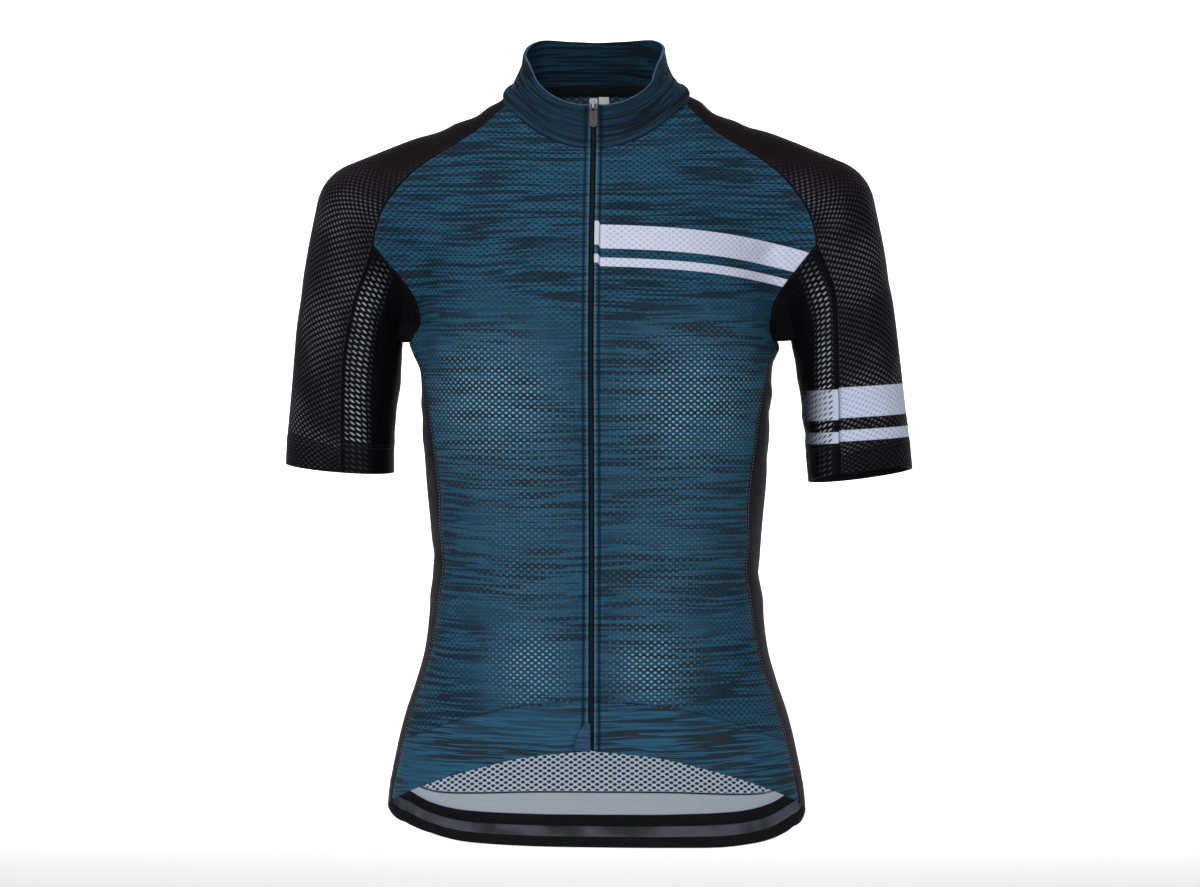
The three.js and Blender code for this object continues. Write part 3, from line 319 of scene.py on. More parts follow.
COLLAR_BASE = [
    (0, -65, -46.5), (15, -64, -45.5), (31, -60, -41), (47, -52, -33), (62, -38, -21), (75, -16, -7),
    (78.5, 3, 4), (74, 22, 9), (60, 37, 12), (34, 47, 14), (0, 50, 15),
]
RAGLAN_FRONT_ROW, RAGLAN_BACK_ROW = 5, 8

# Seams seen from the front or the back: X, height
RAGLAN_FRONT = [
    (75, -7), (90, -21), (108, -34.5), (140, -55), (158.5, -70.5), (177.5, -96), (184.5, -117), (185.5, -127),
]
RAGLAN_BACK = [
    (60, 12), (80, -14), (105, -40), (135, -62), (158, -82), (175, -103), (184, -119), (186, -127),
]
ARMHOLE = [(185.5, -127), (173, -142.5), (159, -161), (150.5, -177), (148, -192), (147, -208)]
SLEEVE_SEAM = {
    1: [(185.5, -127), (195, -148), (201.3, -170), (203.5, -210), (204.5, -250), (206, -321)],
    -1: [(185.5, -127), (192, -147), (201, -174), (210, -219), (212, -260), (212.5, -317)],
}

# Side seams: height, depth of the front seam, depth of the back seam
SIDE_SEAMS = [
    (-600, -35, 38), (-561, -38, 40), (-500, -41, 42), (-434, -46, 44), (-391, -49, 46), (-330, -54, 47),
    (-270, -49, 42), (-240, -39, 34), (-208, -26, 23),
]
ARMPIT, ARMPIT_RISE = -208, 8
FRONT_SEAM_SIDE, GRIPPER_SEAM_SIDE, HEM_SIDE, BACK_SEAM_SIDE, SIDE_BAND = -543, -569, -595, -588, 7

# Lower end of each sleeve: height at its middle, rise per mm outwards, rise per mm backwards
CUFF = {1: (-321, 0.126, -0.12), -1: (-315.5, 0.088, 0.05)}
SLEEVE_HEM, HEM_ROWS = 26, 2 * FINER

FRONT_BAND_SEAM = [(0, -504), (54, -509), (90, -516), (117, -524), (161, -543)]
FRONT_HEM = [(0, -545), (54, -551), (90, -560), (124, -571), (156, -585), (173, -595)]
SIDES = {1: "left", -1: "right"}

side_seam_at = smooth_table(SIDE_SEAMS)
zip_columns = np.array([ZIP_EDGE, 2.45, 2.9, 3.6, 4.5, TURNED_TO, 6.0, 6.5, TOPSTITCH, 7.5, 8.0, 8.8, 10])


def cuff_spacing(length):
    upper = 1 - HEM_ROWS / SLEEVE
    hem_from = 1 - SLEEVE_HEM / length
    return lambda share: np.interp(share, [0, upper, 1], [0, hem_from, 1])


def neck_front(side):
    x, y, z = COLLAR_BASE[0]
    fine = trace([(ZIP_EDGE, y, z)] + COLLAR_BASE[1:], FRONT, 0, RAGLAN_FRONT_ROW)
    close = points(zip_columns, y, z + 0.01 * (zip_columns - ZIP_EDGE))
    return settle(np.concatenate([close, fine[fine[:, 0] > zip_columns[-1] + 1]]) * (side, 1, 1))


def side_seams(side):
    """Seams and edges of one side, shared by the panels that meet there."""
    s = {}
    s["neck_front"] = neck_front(side)
    s["neck_cap"] = settle(trace(COLLAR_BASE, CAP, RAGLAN_FRONT_ROW, RAGLAN_BACK_ROW) * (side, 1, 1))
    s["neck_back"] = settle(trace(COLLAR_BASE, BACK_HALF, RAGLAN_BACK_ROW) * (side, 1, 1))
    s["neck_cap"][0] = s["neck_front"][-1]
    s["neck_back"][0] = s["neck_cap"][-1]
    for name, rows, cast, corner in (
        ("raglan_front", RAGLAN_FRONT, from_front, s["neck_front"][-1]),
        ("raglan_back", RAGLAN_BACK, from_back, s["neck_back"][0]),
    ):
        line = trace(rows, RAGLAN)
        s[name] = cast(side * line[:, 0], line[:, 1])
        s[name][0] = corner

    def down(top, bottom, steps, column):
        z = np.linspace(top, bottom, steps + 1)
        return from_side(side, side_seam_at(z)[:, column], z)

    s["side_front"] = down(ARMPIT, FRONT_SEAM_SIDE, SIDE, 0)
    s["side_front_low"] = down(FRONT_SEAM_SIDE, GRIPPER_SEAM_SIDE, SIDE_LOW, 0)
    s["side_front_hem"] = down(GRIPPER_SEAM_SIDE, HEM_SIDE, HEM_STEPS, 0)
    s["side_back"] = down(ARMPIT, BACK_SEAM_SIDE, BACK_SIDE, 1)
    low = np.linspace(0, -SIDE_BAND, BACK_LOW + 1) + BACK_SEAM_SIDE
    s["side_back_low"] = from_side(side, side_seam_at(BACK_SEAM_SIDE)[1], low)
    line = trace(ARMHOLE, ARMHOLE_STEPS)
    s["armhole_front"] = from_front(side * line[:, 0], line[:, 1])
    s["armhole_back"] = from_back(side * line[:, 0], line[:, 1])
    for place in ("front", "back"):
        s["armhole_" + place][0] = s["raglan_" + place][-1]
        s["armhole_" + place][-1] = s["side_" + place][0]
    y = np.linspace(*side_seam_at(ARMPIT), SIDE_TOP + 1)
    rise = ARMPIT_RISE * np.sin(math.pi * np.linspace(0, 1, SIDE_TOP + 1))
    s["side_top"] = from_side(side, y, ARMPIT + rise)

    height, outwards, backwards = CUFF[side]
    rows = np.array(SLEEVE_LINE[side][3:], float)
    cuff_x, cuff_y = smooth_table(np.column_stack([-rows[:, 2], rows[:, 0], rows[:, 1]]))(-height)
    middle = np.array([side * cuff_x, cuff_y, height])
    turn = math.acos((SLEEVE_SEAM[side][-1][0] - cuff_x) / rows[-1, 3])

    def cuff_arc(start, end, steps):
        angle = np.linspace(start, end, steps + 1)
        x, y = np.cos(angle), np.sin(angle)
        return cast_out(middle, points(side * x, y, x * outwards + y * backwards))

    s["cuff_outer"] = cuff_arc(-turn, turn, CAP)
    s["cuff_inner"] = cuff_arc(-turn, turn - 2 * math.pi, 2 * ARMHOLE_STEPS + SIDE_TOP)
    s["cuff_inner"][0] = s["cuff_outer"][0]
    s["cuff_inner"][-1] = s["cuff_outer"][-1]
    seam = SLEEVE_SEAM[side]
    line = trace(seam, SLEEVE, spacing=cuff_spacing(seam[0][1] - seam[-1][1]))
    for place, cast, end in (("front", from_front, 0), ("back", from_back, -1)):
        s["sleeve_" + place] = cast(side * line[:, 0], line[:, 1])
        s["sleeve_" + place][0] = s["raglan_" + place][-1]
        s["sleeve_" + place][-1] = s["cuff_outer"][end]
    return s


seams = {side: side_seams(side) for side in SIDES}

# Length of cloth from the middle of the front or back out to X, and up from below the hem along
# one column of the grid
GRAIN_STEP_X, GRAIN_STEP_Z, GRAIN_COLUMN = 4.0, 8.0, 12
GRAIN_X = np.arange(0, 194, GRAIN_STEP_X)
GRAIN_Z = np.arange(-688, 24, GRAIN_STEP_Z)


def grain_table(cast):
    surface = cast(*np.meshgrid(GRAIN_X, GRAIN_Z))
    return runs_across(surface[..., :2]), run_of(surface[:, GRAIN_COLUMN, 1:])


grain = {"front": grain_table(from_front), "back": grain_table(from_back)}


def grain_of(net, place):
    """Metres across and up the cloth of each point, for its knit and print."""
    across, upwards = grain[place]
    x = np.clip(np.abs(net[..., 0]) / GRAIN_STEP_X, 0, len(GRAIN_X) - 1.001)
    z = np.clip((net[..., 2] - GRAIN_Z[0]) / GRAIN_STEP_Z, 0, len(GRAIN_Z) - 1.001)
    i, j = x.astype(int), z.astype(int)
    fx, fz = x - i, z - j
    low = across[j, i] * (1 - fx) + across[j, i + 1] * fx
    high = across[j + 1, i] * (1 - fx) + across[j + 1, i + 1] * fx
    u = np.sign(net[..., 0]) * (low * (1 - fz) + high * fz)
    v = np.interp(net[..., 2], GRAIN_Z, upwards)
    return np.stack([u, v], -1) * MM


def outwards_of(net):
    slope = slope_of(cloth_distance, net)
    return slope / np.linalg.norm(slope, axis=-1, keepdims=True)


def pulled_in(net):
    """The net with its rim pulled in, so that neighbours keep the seam gap."""
    net = net.copy()
    old = net.copy()
    for rim, inner in (((0,), (1,)), ((-1,), (-2,)), ((slice(None), 0), (slice(None), 1)),
                       ((slice(None), -1), (slice(None), -2))):
        step = old[inner] - old[rim]
        length = np.maximum(np.linalg.norm(step, axis=-1, keepdims=True), 1e-6)
        net[rim] += step / length * SEAM_GAP / 2
    return net


def creased(net, normals):
    """The pulled-in net with its listed creases raised."""
    return pulled_in(net) + normals * ridge_height(net, CREASES)[..., None]


def from_rim(net, sides="tblr"):
    """Distance of each point of a net from its nearest rim, in millimetres."""
    rows, columns = runs_across(net.swapaxes(0, 1)).T, runs_across(net)
    ways = {"t": rows, "b": rows[-1] - rows, "l": columns, "r": columns[:, -1:] - columns}
    return np.minimum.reduce([ways[side] for side in sides])


def into_scene(name, data):
    piece = bpy.data.objects.new(name, data)
    bpy.context.scene.collection.objects.link(piece)
    return piece


# Outer face and outward directions of every finished panel, for its stitching
surfaces = {}
SOFT_RIM_ANGLE = 55


def wall(name, net, normals, thickness, lift, finishes, uv, edge=0.3, sewn="tblr"):
    """A closed wall of cloth between a net's outer and inner points, with softened rims."""
    lift = np.broadcast_to(lift, net.shape[:2])[..., None]
    thickness = np.broadcast_to(thickness, net.shape[:2])[..., None]
    outer = net + normals * lift
    inner = net + normals * (lift - thickness)
    rows, columns = net.shape[:2]
    index = np.arange(rows * columns).reshape(rows, columns)
    low = index + rows * columns

    def quads(a, b, c, d):
        return np.stack([a, b, c, d], -1).reshape(-1, 4)

    top = quads(index[:-1, :-1], index[1:, :-1], index[1:, 1:], index[:-1, 1:])
    under = quads(low[:-1, :-1], low[:-1, 1:], low[1:, 1:], low[1:, :-1])
    rim = np.concatenate([
        quads(index[:-1, 0], low[:-1, 0], low[1:, 0], index[1:, 0]),
        quads(index[:-1, -1], index[1:, -1], low[1:, -1], low[:-1, -1]),
        quads(index[0, :-1], index[0, 1:], low[0, 1:], low[0, :-1]),
        quads(index[-1, :-1], low[-1, :-1], low[-1, 1:], index[-1, 1:]),
    ])
    places = np.concatenate([outer.reshape(-1, 3), inner.reshape(-1, 3)])
    faces = np.concatenate([top, rim, under])
    a, b, c = (places[top[:, i]] for i in range(3))
    facing = (np.cross(b - a, c - a) * normals[:-1, :-1].reshape(-1, 3)).sum()
    if facing < 0:
        faces = faces[:, ::-1]
    mesh = bpy.data.meshes.new(name)
    mesh.from_pydata((places * MM).tolist(), [], faces.tolist())
    for finish in finishes:
        mesh.materials.append(finish)
    inside = np.zeros(len(faces), int)
    inside[-len(under):] = len(finishes) - 1
    mesh.polygons.foreach_set("material_index", inside)
    corner = np.zeros(len(mesh.loops), int)
    mesh.loops.foreach_get("vertex_index", corner)
    layer = mesh.uv_layers.new(name="cloth")
    both = np.concatenate([uv.reshape(-1, 2)] * 2)
    layer.data.foreach_set("uv", both[corner].ravel())
    from_seam = mesh.attributes.new("seam", "FLOAT", "POINT")
    away = from_rim(net, sewn) * MM if sewn else np.ones(net.shape[:2])
    from_seam.data.foreach_set("value", np.concatenate([away.ravel()] * 2).astype(np.float32))
    mesh.polygons.foreach_set("use_smooth", np.ones(len(faces), bool))
    surfaces[name] = outer, normals
    piece = into_scene(name, mesh)
    bevel = piece.modifiers.new("soft rim", "BEVEL")
    bevel.limit_method = "ANGLE"
    bevel.angle_limit = math.radians(SOFT_RIM_ANGLE)
    bevel.width = edge * MM
    bevel.segments = 2
    apply_modifiers(piece)
    return piece


def apply_modifiers(piece):
    bpy.context.view_layer.objects.active = piece
    piece.select_set(True)
    for modifier in list(piece.modifiers):
        bpy.ops.object.modifier_apply(modifier=modifier.name)
    piece.select_set(False)


def net_area(net):
    a, b, c, d = net[:-1, :-1], net[1:, :-1], net[1:, 1:], net[:-1, 1:]
    return np.linalg.norm(np.cross(c - a, d - b), axis=-1).sum() / 2


def fasten(piece, node):
    """Hangs a piece on the jersey's body and hides the part that it replaces."""
    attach(piece, "jersey")
    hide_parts(node)


def sewn_in(piece, node, net):
    """Fastens a panel and prints the size of the cut that it lies flat as."""
    fasten(piece, node)
    width = np.linalg.norm(np.diff(net, axis=1), axis=-1).sum(1).max() * MM
    length = np.linalg.norm(np.diff(net, axis=0), axis=-1).sum(0).max() * MM
    area = min(net_area(net) * MM * MM, width * length)
    print("cut", node, round(width * 1000), "x", round(length * 1000), "mm", round(area * 1e4), "cm2")


class Number:
    """A shader socket that takes part in sums."""

    def __init__(self, finish, socket):
        self.finish = finish
        self.socket = socket

    def math(self, operation, *others):
        inputs = dict(enumerate((self,) + others))
        return Number(self.finish, self.finish.node("ShaderNodeMath", {"operation": operation}, inputs))

    def __add__(self, other):
        return self.math("ADD", other)

    def __radd__(self, other):
        return self + other

    def __sub__(self, other):
        return self.math("SUBTRACT", other)

    def __rsub__(self, other):
        return (self * -1) + other

    def __mul__(self, other):
        return self.math("MULTIPLY", other)

    def __rmul__(self, other):
        return self * other

    def fract(self):
        return self.math("FRACT")

    def sqrt(self):
        return self.math("SQRT")

    def abs(self):
        return self.math("ABSOLUTE")

    def exp(self):
        return self.math("EXPONENT")

    def sin(self):
        return self.math("SINE")

    def min(self, other):
        return self.math("MINIMUM", other)

    def max(self, other):
        return self.math("MAXIMUM", other)

    def bell(self, middle, reach):
        """1 at a middle, falling softly to 0 on both sides."""
        away = (self - middle) * (1 / reach)
        return (away * away * -1).exp()

    def fade(self, nothing, full):
        """0 at one value and 1 at the other, with a soft step between."""
        settings = {"interpolation_type": "SMOOTHSTEP"}
        inputs = {0: self, 1: nothing, 2: full}
        return Number(self.finish, self.finish.node("ShaderNodeMapRange", settings, inputs))

    def between(self, low, high, soft):
        return self.fade(low - soft, low + soft) * self.fade(high + soft, high - soft)


class Finish:
    """One material, whose nodes are added by a single method."""

    def __init__(self, name, roughness, metallic=0.0, specular=0.5):
        self.material = bpy.data.materials.new(name)
        self.material.use_nodes = True
        self.tree = self.material.node_tree
        self.shader = self.tree.nodes["Principled BSDF"]
        self.shader.inputs["Roughness"].default_value = roughness
        self.shader.inputs["Metallic"].default_value = metallic
        self.shader.inputs["Specular IOR Level"].default_value = specular

    def node(self, kind, settings=None, inputs=None, output=0):
        node = self.tree.nodes.new(kind)
        for name, value in (settings or {}).items():
            setattr(node, name, value)
        for key, value in (inputs or {}).items():
            if isinstance(value, Number):
                value = value.socket
            if isinstance(value, bpy.types.NodeSocket):
                self.tree.links.new(value, node.inputs[key])
            else:
                node.inputs[key].default_value = value
        return node.outputs[output]

    def grain(self):
        """Metres across and up the cloth."""
        parts = {"Vector": self.node("ShaderNodeUVMap", {"uv_map": "cloth"})}
        return [Number(self, self.node("ShaderNodeSeparateXYZ", None, parts, i)) for i in range(2)]

    def seam(self):
        """Metres from the nearest sewn edge."""
        return Number(self, self.node("ShaderNodeAttribute", {"attribute_name": "seam"}, None, 2))

    def place(self):
        """Metres along X, Y and Z of the object."""
        parts = {"Vector": self.node("ShaderNodeTexCoord", None, None, "Object")}
        return [Number(self, self.node("ShaderNodeSeparateXYZ", None, parts, i)) for i in range(3)]

    def noise(self, x, y, z=0.0, detail=2.0):
        vector = self.node("ShaderNodeCombineXYZ", None, {0: x, 1: y, 2: z})
        inputs = {"Vector": vector, "Scale": 1.0, "Detail": detail}
        return Number(self, self.node("ShaderNodeTexNoise", None, inputs))

    def mix(self, share, a, b):
        """Colour a turning to colour b as the share goes from 0 to 1."""
        settings = {"data_type": "RGBA"}
        return self.node("ShaderNodeMix", settings, {0: share, 6: a, 7: b}, 2)

    def colour(self, socket):
        self.tree.links.new(socket, self.shader.inputs["Base Color"])

    def bump(self, height, depth):
        """Relief that stands out by a depth in metres where the height is 1."""
        normal = self.node("ShaderNodeBump", None, {"Height": height, "Distance": depth, "Strength": 1.0})
        self.tree.links.new(normal, self.shader.inputs["Normal"])

    def rough(self, amount):
        self.tree.links.new(amount.socket, self.shader.inputs["Roughness"])


def tone(*screen):
    """A colour as a screen shows it, from 0 to 255, for a shader."""
    return tuple(((v / 255 + 0.055) / 1.055) ** 2.4 if v > 10 else v / 255 / 12.92 for v in screen) + (1.0,)


def eyelets(u, v, net, hole, soft):
    """1 in the small holes of a staggered net and 0 between them, from its pitch and half a hole."""
    (across, along), (half_wide, half_tall) = net, hole

    def lattice(shift):
        a = ((u * (1 / across) + shift).fract() - 0.5) * (across / half_wide)
        b = ((v * (1 / along) + shift).fract() - 0.5) * (along / half_tall)
        return (a * a + b * b).sqrt()

    return lattice(0.0).min(lattice(0.5)).fade(1 + soft, 1 - soft)


def streaks(finish, u, v, fineness=1.0):
    """Dark dashes of the print, long and thin, of two sizes."""
    level = v + finish.noise(u * 8, v * 10, 3.0, 1.0) * 0.010
    broad = finish.noise(u * 14, level * (330 * fineness), 0.0, 1.0).fade(0.49, 0.53)
    fine = finish.noise(u * 24, level * (640 * fineness), 7.0, 1.0).fade(0.53, 0.57)
    patch = finish.noise(u * 9, v * 26, 11.0, 1.0).fade(0.34, 0.5)
    return (broad * (patch * 0.7 + 0.3)).max(fine * 0.6)


def spot(x, z, at_x, at_z, wide, tall):
    """1 at a place on each front, falling softly to 0 around it."""
    a = (x.abs() - at_x) * (1 / wide)
    b = (z - at_z) * (1 / tall)
    return ((a * a + b * b) * -1).exp()


TEAL, TEAL_DARK, TEAL_BLACK = tone(36, 83, 109), tone(32, 41, 49), tone(23, 32, 41)
# Painted highlights: in the lit holes of the fronts and on the fold of the turned zip edge
HOLE_HIGHLIGHT, FOLD_HIGHLIGHT = tone(138, 182, 206), tone(84, 132, 160)
# Painted shade: in unlit holes and the dimples round them, in the topstitching groove and along the seams
HOLE_SHADE, DIMPLE_SHADE = tone(7, 17, 26), tone(11, 25, 38)
GROOVE_SHADE, SEAM_SHADE = tone(9, 17, 26), tone(14, 24, 34)
# The pale stripes, with painted shade in their holes
PALE, PALE_SHADE = tone(196, 201, 220), tone(158, 165, 190)
INSIDE, INSIDE_CLOUD, INSIDE_BAND = tone(238, 246, 255), tone(184, 196, 214), tone(166, 180, 195)
INSIDE_HOLE, INSIDE_SEAM = tone(38, 76, 112), tone(48, 66, 98)
# Painted shade for the inner side near the neck, whose holes stay lighter
NECK_SHADE, NECK_SHADE_HOLE = tone(10, 22, 31), tone(58, 84, 98)

# Eyelet nets, in metres: pitch across and along, half a hole, and half the dimple around it
PRINT_NET, PRINT_HOLE, PRINT_DIMPLE = (0.0062, 0.0050), (0.00128, 0.00092), (0.0025, 0.0018)
INNER_NET, INNER_HOLE = (0.0078, 0.0050), (0.0020, 0.00135)

# Painted highlights in the holes of the fronts, where light catches them: X, height, half width, half height,
# strength
CAUGHT_LIGHT = [
    (0.082, -0.255, 0.050, 0.046, 1.0), (0.050, -0.478, 0.030, 0.030, 0.9),
    (0.060, -0.345, 0.050, 0.060, 0.25), (0.055, -0.415, 0.040, 0.040, 0.2),
]

# Bands of the stripes on the chest, in metres of the slanted and sagging height
STRIPE_TILT, STRIPE_SAG, TURNED_HIGHER = 0.026, 3.03, 0.003
CHEST_BROAD, CHEST_NARROW = (-0.1310, -0.1112), (-0.1458, -0.1386)


def zip_fold(finish, x, y, colour, strength=1.0):
    """Painted highlight on the fold of the turned zip edge and painted shade along its topstitching."""
    across = x.abs() + y.fade(-0.03, -0.01)
    fold = across.between(0.0029, 0.0038, 0.0005)
    groove = across.bell(0.0066, 0.0014)
    colour = finish.mix(fold * 0.3, colour, FOLD_HIGHLIGHT)
    return finish.mix(groove * strength * 0.88, colour, GROOVE_SHADE)


def seam_shade(finish, colour, wide, strength, tint):
    """Painted shade that darkens a colour towards the sewn edge."""
    return finish.mix(finish.seam().fade(wide, 0.0) * strength, colour, tint)


def knit_ribs(finish, u, v):
    """The fine ribs of a plain knit, across and along."""
    finish.bump((u * 5200).sin() * 0.5 + (v * 3600).sin() * 0.3, 0.00005)


def printed_mesh(name, striped):
    finish = Finish(name, 0.7, specular=0.08)
    u, v = finish.grain()
    x, y, z = finish.place()
    front = y.fade(0.01, -0.01)
    meshed = x.abs().fade(0.0085, 0.0105).max(y.fade(-0.01, 0.01))
    holes = eyelets(u, v, PRINT_NET, PRINT_HOLE, 0.4) * meshed * finish.seam().fade(0.0012, 0.0024)
    cloth = finish.mix(streaks(finish, u, v) * 0.84, TEAL, TEAL_BLACK)
    # Painted light in the holes: painted highlights where light catches them on each front, painted shade in
    # the rest of the holes and in the dimples round them
    lit = 0.0
    for *where, strength in CAUGHT_LIGHT:
        lit = spot(x, z, *where) * strength + lit
    lit = (lit * (finish.noise(x * 50, z * 80, 2.0, 2.0) * 1.3 + 0.2)).min(0.85) * front
    hole = finish.mix(lit * 0.92, finish.mix(0.75, cloth, HOLE_SHADE), HOLE_HIGHLIGHT)
    dimple = eyelets(u, v, PRINT_NET, PRINT_DIMPLE, 0.5) * meshed
    cloth = finish.mix(dimple * (lit * 0.55 + 0.2), cloth, DIMPLE_SHADE)
    colour = finish.mix(holes * 0.95, cloth, hole)
    if striped:
        higher = x.fade(0.0072, 0.0052) * TURNED_HIGHER
        level = z + x * STRIPE_TILT + x * x * x * STRIPE_SAG - higher
        edge = x.fade(0.0015, 0.002) * front
        band = level.between(*CHEST_BROAD, 0.0004).max(level.between(*CHEST_NARROW, 0.0004)) * edge
        pale = finish.mix(holes * 0.6, PALE, PALE_SHADE)
        colour = finish.mix(band, colour, pale)
        colour = zip_fold(finish, x, y, colour, band * -0.7 + 1.0)
    else:
        colour = zip_fold(finish, x, y, colour)
    finish.colour(seam_shade(finish, colour, 0.0014, 0.45, SEAM_SHADE))
    knit = (u * 5200).sin() * (v * 4800).sin() * 0.06
    finish.bump(holes * -0.9 + knit, 0.00045)
    return finish.material


def printed_knit(name, light=TEAL, dark=TEAL_DARK, strength=0.95, zip_side=True):
    finish = Finish(name, 0.7, specular=0.07)
    u, v = finish.grain()
    x, y, z = finish.place()
    colour = finish.mix(streaks(finish, u, v, 1.25) * strength, light, dark)
    if zip_side:
        colour = zip_fold(finish, x, y, colour)
    finish.colour(seam_shade(finish, colour, 0.0012, 0.4, SEAM_SHADE))
    knit_ribs(finish, u, v)
    return finish.material


def pale_inside(name, holed):
    finish = Finish(name, 0.8, specular=0.1)
    u, v = finish.grain()
    x, y, z = finish.place()
    seam = finish.seam()
    cloudy = finish.noise(u * 40, v * 60, 1.0, 3.0)
    cloth = finish.mix(cloudy * 0.15, INSIDE, INSIDE_CLOUD)
    if holed:
        holes = eyelets(u, v, INNER_NET, INNER_HOLE, 0.25) * seam.fade(0.0008, 0.0016)
        # Painted shade over the inner side near the neck; its holes stay lighter there
        neck = z.fade(-0.075, -0.035)
        hole = finish.mix(neck, INSIDE_HOLE, NECK_SHADE_HOLE)
        cloth = finish.mix(neck * 0.98, cloth, NECK_SHADE)
        colour = finish.mix(holes, cloth, hole)
        finish.bump(holes * -1.0, 0.0004)
    else:
        colour = finish.mix(0.5, cloth, INSIDE_BAND)
        finish.bump((v * 3000).sin() * 0.5, 0.00008)
    finish.colour(finish.mix(seam.fade(0.0013, 0.0004), colour, INSIDE_SEAM))
    return finish.material


mesh_inside = pale_inside("printed mesh, inner side", True)
knit_inside = pale_inside("printed knit, inner side", False)
mesh_plain = printed_mesh("printed mesh", False)
mesh_striped = printed_mesh("printed mesh with stripes", True)
band_knit = printed_knit("printed knit")


def turned_edge(x):
    """Height of the turned zip edge over the cloth, at a distance from the zip's middle."""
    raised = np.clip((6.5 - x) / 1.2, 0, 1)
    raised = raised * raised * (3 - 2 * raised)
    rounded = np.clip((x - ZIP_EDGE) / 1.1, 0, 1)
    return TURNED_EDGE * raised * (0.6 + 0.4 * np.sqrt(rounded)) - 0.5 * bell(x, TOPSTITCH, 0.8)


def seam_dip(net, sides):
    """The cloth is drawn down a little along its sewn edges."""
    return -SEAM_DEPTH * bell(from_rim(net, sides), 0, SEAM_REACH)


def across_front(side, table, corner):
    """A line across one front, from its zip edge to its side seam."""
    fine = trace(table[:-1] + [(abs(corner[0]), corner[2])], FRONT)
    x = np.concatenate([zip_columns, fine[fine[:, 0] > zip_columns[-1] + 1, 0]])
    top = from_front(side * x, np.interp(x, fine[:, 0], fine[:, 1]))
    top[-1] = corner
    return top


def resample(line, count):
    share = np.linspace(0, 1, len(line))
    return np.stack([np.interp(np.linspace(0, 1, count), share, line[:, i]) for i in range(3)], -1)


def resample_beyond(line, count):
    """A line whose close zip columns stay and whose others are spread to a count."""
    near = len(zip_columns)
    return np.concatenate([line[:near], resample(line[near:], count - near)])


def on_front(net):
    return on_cloth(net, lambda p: from_front(p[..., 0], p[..., 2]))


def lay_front(net, name, node, thickness, finishes, edge, sewn):
    """A front panel or its band, with the turned edge along the zip."""
    normals = outwards_of(net)
    lift = turned_edge(np.abs(net[..., 0])) + seam_dip(net, sewn)
    thick = thickness + np.maximum(lift, 0)
    uv = grain_of(net, "front")
    piece = wall(name, creased(net, normals), normals, thick, lift, finishes, uv, edge, sewn)
    sewn_in(piece, node, net)


front_nets, band_nets = {}, {}
for side, word in SIDES.items():
    s = seams[side]
    side_edge = join_lines(s["raglan_front"], s["armhole_front"], s["side_front"])
    band_seam = across_front(side, FRONT_BAND_SEAM, side_edge[-1])
    hem = across_front(side, FRONT_HEM, s["side_front_hem"][-1])
    count = len(zip_columns) + FRONT
    top, bottom, hem = (resample_beyond(line, count) for line in (s["neck_front"], band_seam, hem))
    v = np.linspace(0, 1, len(side_edge))
    highest, lowest = top[0, 2], bottom[0, 2]
    fall = (side_edge[:, 2] - side_edge[0, 2]) / (side_edge[-1, 2] - side_edge[0, 2])
    z = highest + (0.4 * fall + 0.6 * v) * (lowest - highest)
    zip_edge = from_front(side * ZIP_EDGE, z)
    zip_edge[0], zip_edge[-1] = top[0], bottom[0]
    share = (np.abs(bottom[:, 0]) - ZIP_EDGE) / (abs(bottom[-1, 0]) - ZIP_EDGE)
    net = fill(top, bottom, zip_edge, side_edge, share)
    for j in range(1, len(net) - 1):
        net[j, :len(zip_columns), 0] = side * zip_columns
        net[j, :len(zip_columns), 2] = net[j, 0, 2]
    net = on_front(net)
    finishes = (mesh_striped if side > 0 else mesh_plain, mesh_inside)
    lay_front(net, f"{word}_front", f"front_{word}", CLOTH, finishes, 0.3, "tbr")
    front_nets[side] = net

    edge = join_lines(s["side_front_low"], s["side_front_hem"])
    band_zip = from_front(side * ZIP_EDGE, np.linspace(bottom[0, 2], hem[0, 2], len(edge)))
    band_zip[0], band_zip[-1] = bottom[0], hem[0]
    net = on_front(fill(bottom, hem, band_zip, edge, share))
    lay_front(net, f"{word}_front_band", f"front_band_{word}", BAND, (band_knit, knit_inside), 0.5, "tr")
    band_nets[side] = net


# Back
# One panel of the printed mesh between the two raglan seams, pale on its inner side, with a band
# of plain knit below it that drops lower than the front.
BACK_SEAM = [(0, -607.5), (60, -607), (118, -606), (148, -601.5), (168, -588)]
GRIPPER_TOP = [(0, -628.5), (60, -627.5), (120, -622), (150, -612), (170, -595.5)]
left, right = seams[1], seams[-1]


def across_back(start, end):
    return np.concatenate([start, end[:-1][::-1]])


def back_half(side, table, corner):
    """Half of a line across the back, from its side seam to its middle."""
    line = trace(table[:-1] + [(abs(corner[0]), corner[2])], BACK_HALF)
    half = from_back(side * line[:, 0], line[:, 1])[::-1]
    half[0] = corner
    return half


def back_line(table, seam):
    """A line right across the back, between the lower ends of the same seam on both sides."""
    return across_back(*(back_half(side, table, seams[side][seam][-1]) for side in SIDES))


def back_edge(s):
    return join_lines(s["raglan_back"], s["armhole_back"], s["side_back"])


def on_back(net):
    return on_cloth(net, lambda p: from_back(p[..., 0], p[..., 2]))


back_top = across_back(left["neck_back"], right["neck_back"])
back_seam = back_line(BACK_SEAM, "side_back")
gripper_top_back = back_line(GRIPPER_TOP, "side_back_low")
back_net = on_back(fill(back_top, back_seam, back_edge(left), back_edge(right)))
back_normals = outwards_of(back_net)
back_crease = ridge_height(back_net, CREASES)[..., None]
back_body = pulled_in(back_net) + back_normals * back_crease
uv = grain_of(back_net, "back")
finishes = (mesh_plain, mesh_inside)
piece = wall("back_panel", back_body, back_normals, CLOTH, seam_dip(back_net, "tblr"), finishes, uv)
sewn_in(piece, "back", back_net)

